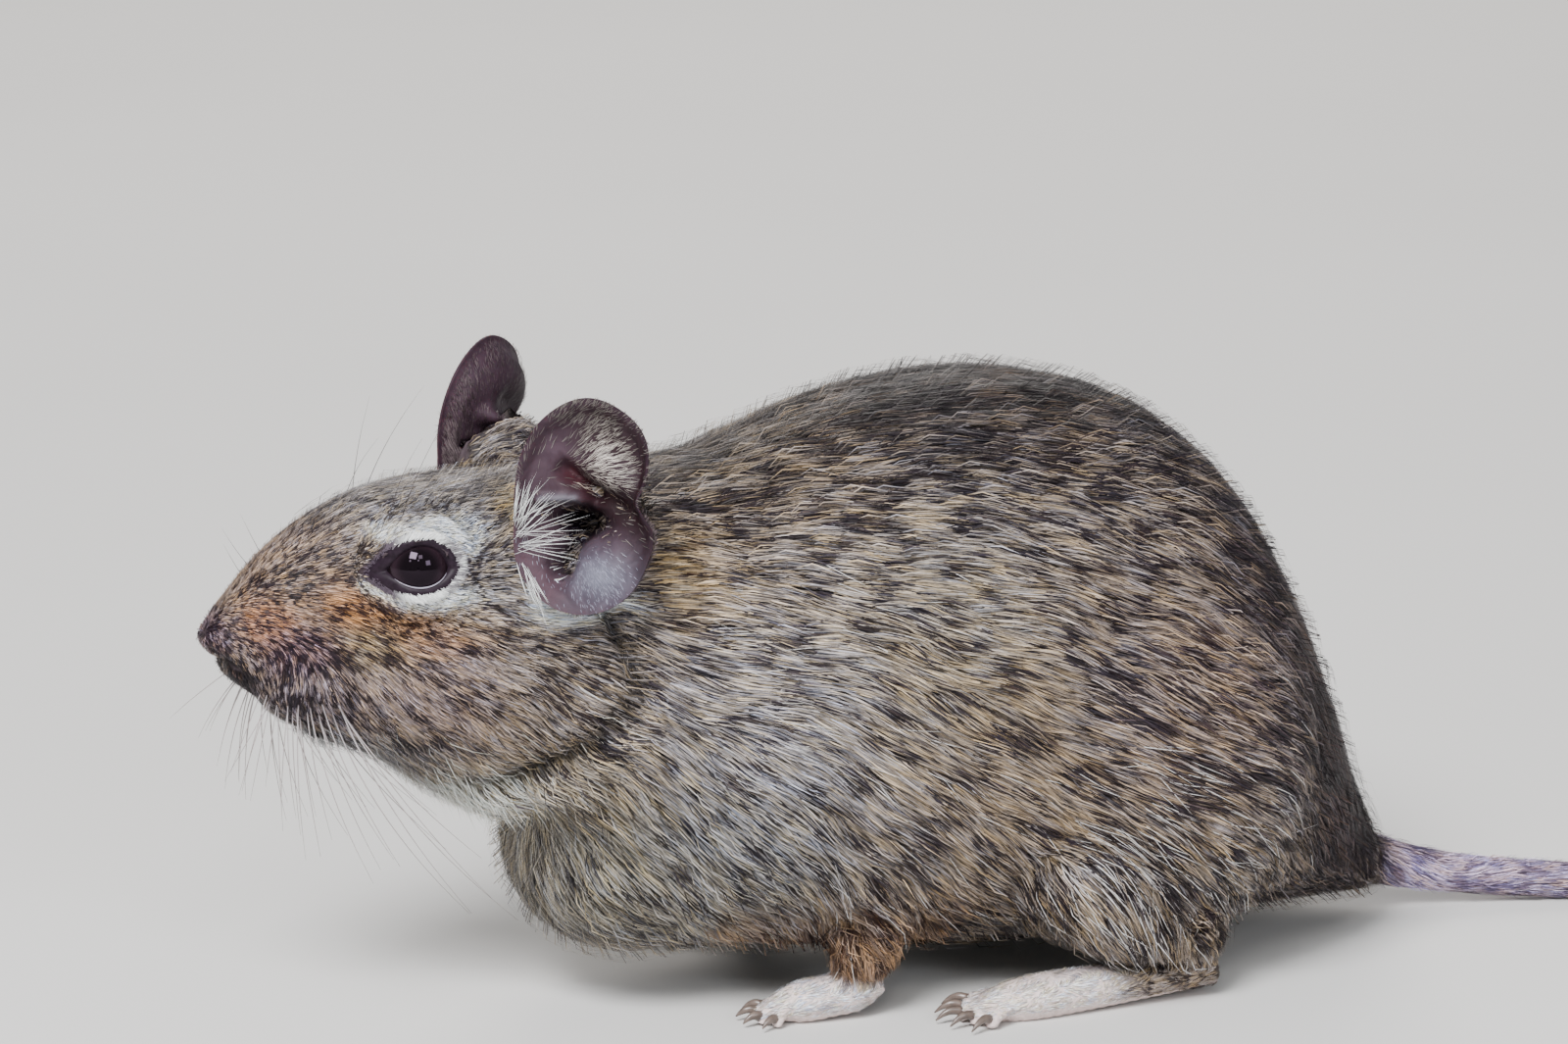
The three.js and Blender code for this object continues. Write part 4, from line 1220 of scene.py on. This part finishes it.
def grow_ear_down(side_name, side, rng, material):
    """Short down on the inner face's upper lobe and along the rim, and stubble on the lower lobe."""
    back, up, _ = ear_axes(side)
    tries = 20000
    angle = rng.uniform(-180, 180, tries)
    share = np.sqrt(rng.random(tries)) * 0.985
    across, upward = ear_place(angle, share * ear_rim(angle))
    covered = smooth(0.68, 0.84, share) * smooth(1.5, 3.5, across)
    upper_lobe = hill(across, upward, (0.8, 9.3), (4.4, 4.4)) * smooth(4.8, 6.6, upward)
    chance = 1.1 * upper_lobe * (1 - 0.9 * covered)
    chance += 0.9 * smooth(12.0, 13.5, upward) * (1 - 0.8 * covered)
    chance += 0.35 * hill(across, upward, (2.9, -4.4), (3.0, 2.4))
    chance *= 1 - 0.95 * hill(across, upward, (-4.4, 8.6), (2.4, 3.4))
    chance += 0.3 * smooth(0.9, 0.97, share) * smooth(3.0, 6.0, upward)
    keep = rng.random(tries) < np.clip(chance, 0.02, 1) * 0.62
    angle, share, across, upward = (value[keep] for value in (angle, share, across, upward))
    here, out = ear_normal(side, angle, share)
    spread = unit(flat_on(out, np.outer(across + 6.5, back) + np.outer(upward - 5.5, up)))
    spread = unit(spread + rng.normal(0, 0.14, here.shape))
    bright = 0.26 + 0.68 * hill(across, upward, (1.4, 8.4), (3.0, 3.8))
    tint = np.outer(bright * (0.4 + 0.9 * rng.random(len(here))), [0.86, 0.78, 0.70])
    stubble = 1 - smooth(-2.0, 0.0, upward)
    blend(tint, (0.28, 0.28, 0.36), stubble)
    inset = (1 - 0.5 * smooth(0.9, 1.0, share)) * (1 - 0.55 * stubble)
    length = (1.0 + 0.6 * rng.random(len(here))) * inset
    long_hairs(f"ear_{side_name}_down", here, out, spread, length, 0.2, 0.4, 0.055, (tint * 0.7, tint),
               material)


def grow_ear_back(side_name, side, rng, material):
    """Darker down on the back of the ear, longer at its base."""
    _, up, normal = ear_axes(side)
    centre = mirror(EAR_CENTRE, side)
    count = 6500
    angle = 360 * rng.random(count)
    share = np.sqrt(rng.random(count)) * 0.99
    here, out = ear_normal(side, np.where(angle > 180, angle - 360, angle), share, EAR_THICKNESS * 0.9)
    spread = unit(here - (centre - 9 * up - 5 * normal))
    spread = unit(flat_on(out, spread) + rng.normal(0, 0.12, here.shape))
    base = 1 - smooth(2.0, 8.0, (here - centre) @ up)
    tint = np.array([0.10, 0.072, 0.078]) + np.outer(base, [0.06, 0.05, 0.05])
    tint *= (0.5 + 0.9 * rng.random(count))[:, None]
    length = (0.8 + 0.5 * base) * (0.8 + 0.4 * rng.random(count)) * (1 - 0.6 * smooth(0.9, 1.0, share))
    long_hairs(f"ear_{side_name}_back_down", here, -out, spread, length, 0.25, 0.4, 0.09, (tint * 0.6, tint),
               material)


def grow_ear_fringe(side_name, side, rng, material):
    """The white fringe fans out over the cup from one spot of its front edge, in locks."""
    back, up, normal = ear_axes(side)
    locks, each = 26, 3
    count = locks * each
    aim = np.repeat(np.radians(rng.uniform(-64, 100, locks)), each) + rng.normal(0, 0.05, count)
    slide = aim * 3.4 - 0.9 + np.repeat(rng.normal(0, 1.3, locks), each) + rng.normal(0, 0.3, count)
    angle = -164 - slide * 6.0
    angle = np.where(angle < -180, angle + 360, angle)
    here = ear_points(side, angle, rng.uniform(0.86, 1.0, count)) + normal * 0.2
    toward = np.outer(np.cos(aim), back) + np.outer(np.sin(aim), up)
    toward = unit(toward + rng.uniform(0.0, 0.3, (count, 1)) * normal)
    length = (4.2 + 4.6 * peak(aim, 0.35, 0.75)) * rng.uniform(0.72, 1.1, count)
    tint = np.outer(0.85 + 0.3 * rng.random(count), WHITE_HAIR)
    width = rng.uniform(0.038, 0.07, count)
    long_hairs(f"ear_{side_name}_fringe", here, normal, toward, length, 0.20, 0.8, width, (tint * 0.6, tint),
               material)


# Eyes

def build_eye(side_name, side, tree, materials):
    """The eyeball, black with a slightly paler ring, and then its lids."""
    centre, radius = eye_centre(side_name)
    axes = facing(EYE_LOOK, UP, side)
    rings, spokes = 40, 64
    polar = np.linspace(0.02, math.pi - 0.02, rings)
    around = np.linspace(0, 2 * math.pi, spokes, endpoint=False)
    pole, turn = np.meshgrid(polar, around, indexing="ij")
    local = np.stack([np.sin(pole) * np.cos(turn), np.sin(pole) * np.sin(turn), np.cos(pole)], -1)
    local *= 1 + 0.035 * peak(pole, 0, 0.75)[..., None]
    points = centre + radius * 0.985 * (local @ np.stack(axes)).reshape(-1, 3)
    off_axis = pole.ravel()
    colour = [0.003, 0.002, 0.0025] + np.outer(peak(off_axis, 0.72, 0.16), [0.012, 0.006, 0.009])
    blend(colour, (0.05, 0.035, 0.04), smooth(1.15, 1.3, off_axis))
    add_piece(f"eye_{side_name}_ball", "eye", points, disc_faces(rings, spokes, flip=side > 0),
              materials["eye"], colour, [f"eye_{side_name}"])
    build_lids(side_name, side, tree, materials)


def build_lids(side_name, side, tree, materials):
    """The bare lids: a rounded band from the eyeball out to the skin, and a wet line along the lower one,
    pale as a painted highlight.
    """
    centre, radius = eye_centre(side_name)
    back, up, normal = facing(EYE_LOOK, UP, side)
    spokes, steps = 120, 11
    inner, outer = almond(EYE_OPENING, spokes), almond(LID_OUTLINE, spokes)
    flat = centre + outer[:, :1] * back + outer[:, 1:] * up
    edge_out = np.array([reach_skin(tree, place, normal) for place in flat]) + 0.08
    ball_out = np.sqrt(np.maximum(radius**2 - (inner**2).sum(1), 0.3)) + 0.10
    rows = []
    for t in np.linspace(0, 1, steps):
        across, upward = (inner + (outer - inner) * t).T
        on_ball = np.sqrt(np.maximum(radius**2 - across**2 - upward**2, 0.0)) + 0.10
        out = np.maximum(ball_out + (edge_out - ball_out) * t + 0.30 * math.sin(math.pi * t) ** 0.7, on_ball)
        rows.append(centre + across[:, None] * back + upward[:, None] * up + out[:, None] * normal)
    tucked = centre + (rows[0] - centre) * 0.93
    faces = disc_faces(steps + 1, spokes, flip=side > 0)
    add_piece(f"lids_{side_name}", "skin", np.concatenate([tucked, *rows]), faces, materials["lid"])
    grow_lid_hair(side_name, side, np.array(rows), materials["coat"])
    # the wet line along the lower lid, coloured pale as a painted highlight
    wet = rows[0][spokes // 2 + 4: spokes - 6] + 0.10 * normal
    radii = 0.085 * np.sin(np.linspace(0.15, math.pi - 0.15, len(wet)))
    wet = np.concatenate([wet, radii[:, None]], axis=1)
    add_piece(f"tear_{side_name}", "eye", *tube(wet, 8, up=normal), materials["wet_glint"])


def grow_lid_hair(side_name, side, rows, material):
    """Very short hair on the outer half of the lids, white below and above, dark at the front corner."""
    rng = np.random.default_rng(SEEDS["lids"])
    back, _, normal = facing(EYE_LOOK, UP, side)
    count = 2600
    steps, spokes = rows.shape[:2]
    spoke = (spokes * rng.random(count)).astype(int)
    inner_step = 0.80 - 0.16 * peak(spoke / spokes, 0.72, 0.16)
    step = np.clip((steps * (inner_step + (1 - inner_step) * rng.random(count))).astype(int), 0, steps - 1)
    here = rows[step, spoke] + 0.12 * rng.normal(size=(count, 3)) - 0.05 * normal
    outward = unit(rows[-1, spoke] - rows[0, spoke])
    toward = unit(0.9 * back + 0.8 * outward + 0.15 * rng.normal(size=(count, 3)))
    toward = unit(toward - 0.7 * np.outer(toward @ normal, normal))
    at = (here - rows.mean((0, 1))) @ back
    tint = np.tile(LID_SHADE, (count, 1))
    dark_hairs = smooth(1.8, 3.4, at) * (rng.random(count) < 0.75)
    blend(tint, WHITE_HAIR, smooth(-3.4, -1.0, at) * (1 - 0.8 * dark_hairs))
    tint *= (0.7 + 0.5 * rng.random(count))[:, None]
    length = rng.uniform(0.6, 1.1, count)
    long_hairs(f"lid_{side_name}_hair", here, normal, toward, length, 0.12, 0.6, 0.085, (tint * 0.8, tint),
               material)


def reach_skin(tree, place, normal):
    """How far out along the eye's direction the skin lies in front of a place."""
    found = tree.ray_cast(Vector(place + normal * 9), Vector(-normal), 12)
    return 9 - found[3] if found[0] is not None else 3.2


# Claws and whiskers

def build_claws(material):
    parts = []
    for side in SIDES.values():
        for foot in FEET:
            for line, ahead in toe_tips(foot, side):
                start = line[-1, :3] + [0, 0, 0.35] + ahead * 0.2
                size = foot["claw"]
                bends = [start + ahead * size * t + UP * lift * size * 0.5 for t, lift, _ in CLAW]
                path = np.array([(*place, radius) for place, (_, _, radius) in zip(bends, CLAW)])
                keep_above(path, path[:, 3] + 0.03)
                parts.append(tube(curve(path, 9), 7, flat=1.15))
    add_piece("claws", "claw", *joined(parts), material)


WHISKER_PALE = np.array([(0.10, 0.075, 0.085), (0.42, 0.38, 0.38), (0.40, 0.35, 0.34), (0.15, 0.11, 0.10)])
WHISKER_DARK = np.array([(0.05, 0.04, 0.04), (0.06, 0.05, 0.05), (0.06, 0.05, 0.05), (0.05, 0.04, 0.03)])
WHISKER_BANDS = (0, 0.18, 0.4, 1)  # where along a whisker its four colours lie
FACE_WHISKERS = [
    # (x, off the middle, z, length) of each, direction, spread, sag for its length, radius, colours:
    # above the eyes, on the cheeks and over the nose
    (((19, 8.5, 63.2, 12), (21, 8.5, 64, 14), (17.5, 8.5, 62.2, 9)),
     (0.25, 0.25, 0.9), 0.1, (0.175, 0, -0.05), 0.05, WHISKER_DARK),
    (((29, 15, 44, 9), (30, 15, 41.5, 8)),
     (0.6, 0.7, -0.2), 0.1, (0.08, 0, -0.12), 0.045, WHISKER_PALE),
    (((4.5, 5, 55, 5), (6.5, 5, 55, 7), (9, 5, 55, 8)),
     (-0.45, 0.3, 0.75), 0.12, (0.08, 0, -0.04), 0.04, WHISKER_DARK),
]


def build_whiskers(tree, material):
    """Long whiskers hang from the pads, with a few above the eyes, on the cheeks and over the nose."""
    rng = np.random.default_rng(SEEDS["whiskers"])
    joints, sides = 14, 4
    parts, tints = [], []

    def whisker(root, direction, length, sag, radius, colours):
        place, normal, _, _ = tree.find_nearest(Vector(root))
        start = np.array(place) - np.array(normal) * 0.3
        t = np.linspace(0, 1, joints)[:, None]
        bend = rng.normal(0, 0.04, 3)
        path = start + direction * length * t + (sag + bend * length) * t**2
        keep_above(path, 0.4)
        path = np.concatenate([path, radius * (1 - 0.86 * t)], axis=1)
        parts.append(tube(path, sides, up=np.array([0.3, 0.9, 0.2])))
        along = np.concatenate([np.repeat(t[:, 0], sides), [0, 1]])
        tints.append(np.stack([np.interp(along, WHISKER_BANDS, colours[:, k]) for k in range(3)], 1))

    for side in SIDES.values():
        for row, column in np.ndindex(3, 9):
            if row == 0 and column % 2:
                continue
            share = column / 8
            root = np.array([5.2 + 8.6 * share, side * (6.0 + 1.6 * share), 39.6 + 1.5 * row - 1.0 * share])
            root += rng.normal(0, 0.3, 3)
            swing = math.radians(-30 + 62 * share + rng.normal(0, 5) - 5 * row)
            outward = side * (0.36 + 0.12 * row + rng.normal(0, 0.05))
            aim = unit([math.sin(swing), outward, -math.cos(swing)])
            length = (10.5 + 17 * share**1.5) * rng.uniform(0.75, 1.15)
            sag = np.array([0.02 + 0.30 * share, -side * 0.16, -0.10]) * length
            whisker(root, aim, length, sag, 0.078 + 0.024 * share, WHISKER_PALE)
        for places, direction, spread, sag, radius, colours in FACE_WHISKERS:
            for x, off, z, length in places:
                aim = unit(mirror(direction, side) + rng.normal(0, spread, 3))
                whisker((x, side * off, z), aim, length, np.array(sag) * length, radius, colours)
    add_piece("whiskers", "whisker", *joined(parts), material, np.concatenate(tints))


# Stage

FLOOR_HALF = 3.0
FLOOR_PAINT = {"colour": (0.62, 0.61, 0.59), "dark": (0.59, 0.58, 0.56), "grain": 3.0, "Roughness": 0.9}
LAMPS = [
    # name, place, aimed at, size, power, colour
    ("key", (-0.62, -0.62, 0.95), (-0.05, 0, 0.03), 0.46, 31.0, (0.98, 0.98, 1.0)),
    ("spark_1", (-0.22, -0.95, 0.98), (-0.10, 0, 0.05), 0.28, 3.2, (1.0, 1.0, 1.0)),
    ("spark_2", (-0.98, -0.80, 0.72), (-0.10, 0, 0.05), 0.12, 0.9, (1.0, 1.0, 1.0)),
    ("spark_3", (-0.40, -1.02, 0.74), (-0.10, 0, 0.05), 0.10, 0.7, (1.0, 1.0, 1.0)),
    ("fill", (0.30, -1.20, 0.55), (0.0, 0, 0.03), 0.35, 5.6, (0.92, 0.95, 1.0)),
    ("back", (0.25, 0.9, 0.75), (0.0, 0, 0.04), 0.6, 8.0, (1.0, 0.95, 0.90)),
]


def build_floor():
    mesh = bpy.data.meshes.new("floor")
    corners = [(FLOOR_HALF * x, FLOOR_HALF * y, 0) for x, y in ((-1, -1), (1, -1), (1, 1), (-1, 1))]
    mesh.from_pydata(corners, [], [(0, 1, 2, 3)])
    floor = place_object("floor", mesh)
    mesh.materials.append(plain_material("floor_paint", **FLOOR_PAINT))
    floor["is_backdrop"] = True


def build_lights():
    world = bpy.data.worlds.new("studio")
    world.use_nodes = True
    background = world.node_tree.nodes["Background"]
    background.inputs["Color"].default_value = (0.80, 0.83, 0.88, 1)
    background.inputs["Strength"].default_value = 0.48
    bpy.context.scene.world = world
    for name, place, target, size, power, colour in LAMPS:
        light = bpy.data.lights.new(name, "AREA")
        light.shape = "SQUARE"
        light.size = size
        light.energy = power
        light.color = colour
        holder = place_object(name, light)
        holder.location = place
        holder.rotation_euler = (Vector(target) - Vector(place)).to_track_quat("-Z", "Y").to_euler()


def build_camera():
    camera = bpy.data.cameras.new("camera")
    camera.lens = CAMERA_LENS
    camera.sensor_width = SENSOR
    camera.clip_start = 0.02
    camera.clip_end = 20
    holder = place_object("camera", camera)
    holder.location = Vector(np.array(CAMERA_AT) * MM + NOSE)
    a, e = math.radians(CAMERA_AZIMUTH), math.radians(CAMERA_ELEVATION)
    away = Vector((math.sin(a) * math.cos(e), -math.cos(a) * math.cos(e), math.sin(e)))
    holder.rotation_euler = away.to_track_quat("Z", "Y").to_euler()
    bpy.context.scene.camera = holder


def add_skins(skin, feet, materials):
    """The two skins. Bare skin is dark on the face, near black in the nostrils as painted shade, and pale on
    the feet, and hair covers the rest.
    """
    points = skin[0]
    # Painted shade: the bare skin goes near black inside the nostrils.
    colours = BARE_SKIN * (1 - 0.9 * nostril_nearness(points, 0.75))[:, None]
    blend(colours, under_coat(points), np.clip(density(points) / 8, 0, 1))
    add_piece("skin", "skin", *skin, materials["skin"], colours, FLESH)
    points = feet[0]
    heel = smooth(100, 108, points[:, 0]) * smooth(1.2, 2.6, points[:, 2])
    colours = np.tile(FOOT_SKIN, (len(points), 1))
    blend(colours, under_coat(points), np.maximum(smooth(4.2, 6.0, points[:, 2]), heel))
    add_piece("feet_skin", "foot_skin", *feet, materials["foot"], colours, FOOT_NODES)


def main():
    build_floor()
    build_lights()
    build_camera()
    materials = {
        "coat": coat_material("coat_hair"),
        "skin": coat_material("under_coat", bump=0.6, roughness=0.75, grain=1500.0),
        "ear": ear_material(),
        "eye": eye_material(),
        "foot": coat_material("foot_skin", bump=0.3, roughness=0.5, grain=2200.0),
        "lid": plain_material("lid_skin", (0.018, 0.010, 0.017), grain=1800.0, Roughness=0.45,
                              Specular_IOR_Level=0.12),
        # the wet line's pale colour is a painted highlight
        "wet_glint": shader("wet_glint", Roughness=0.04, Base_Color=(0.34, 0.31, 0.38, 1.0))[0],
        "claw": plain_material("claw_horn", (0.16, 0.12, 0.10), grain=1200.0, Roughness=0.28),
        "whisker": coat_material("whisker_hair", roughness=0.35, grain=500.0),
    }
    skin, feet = build_skin(), build_feet()
    tree = BVHTree.FromPolygons(*(values.tolist() for values in skin))
    add_skins(skin, feet, materials)
    grow_coat(skin, feet, materials["coat"])
    grow_guard_hairs(*skin, tree, materials["coat"])
    grow_brush(materials["coat"])
    for side_name, side in SIDES.items():
        build_eye(side_name, side, tree, materials)
        build_ear(side_name, side, materials)
    build_claws(materials["claw"])
    build_whiskers(tree, materials["whisker"])


main()
boxes = {"cad": cad_box, "visual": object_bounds()}
{name: [list(map(float, corner)) for corner in box] for name, box in boxes.items()}
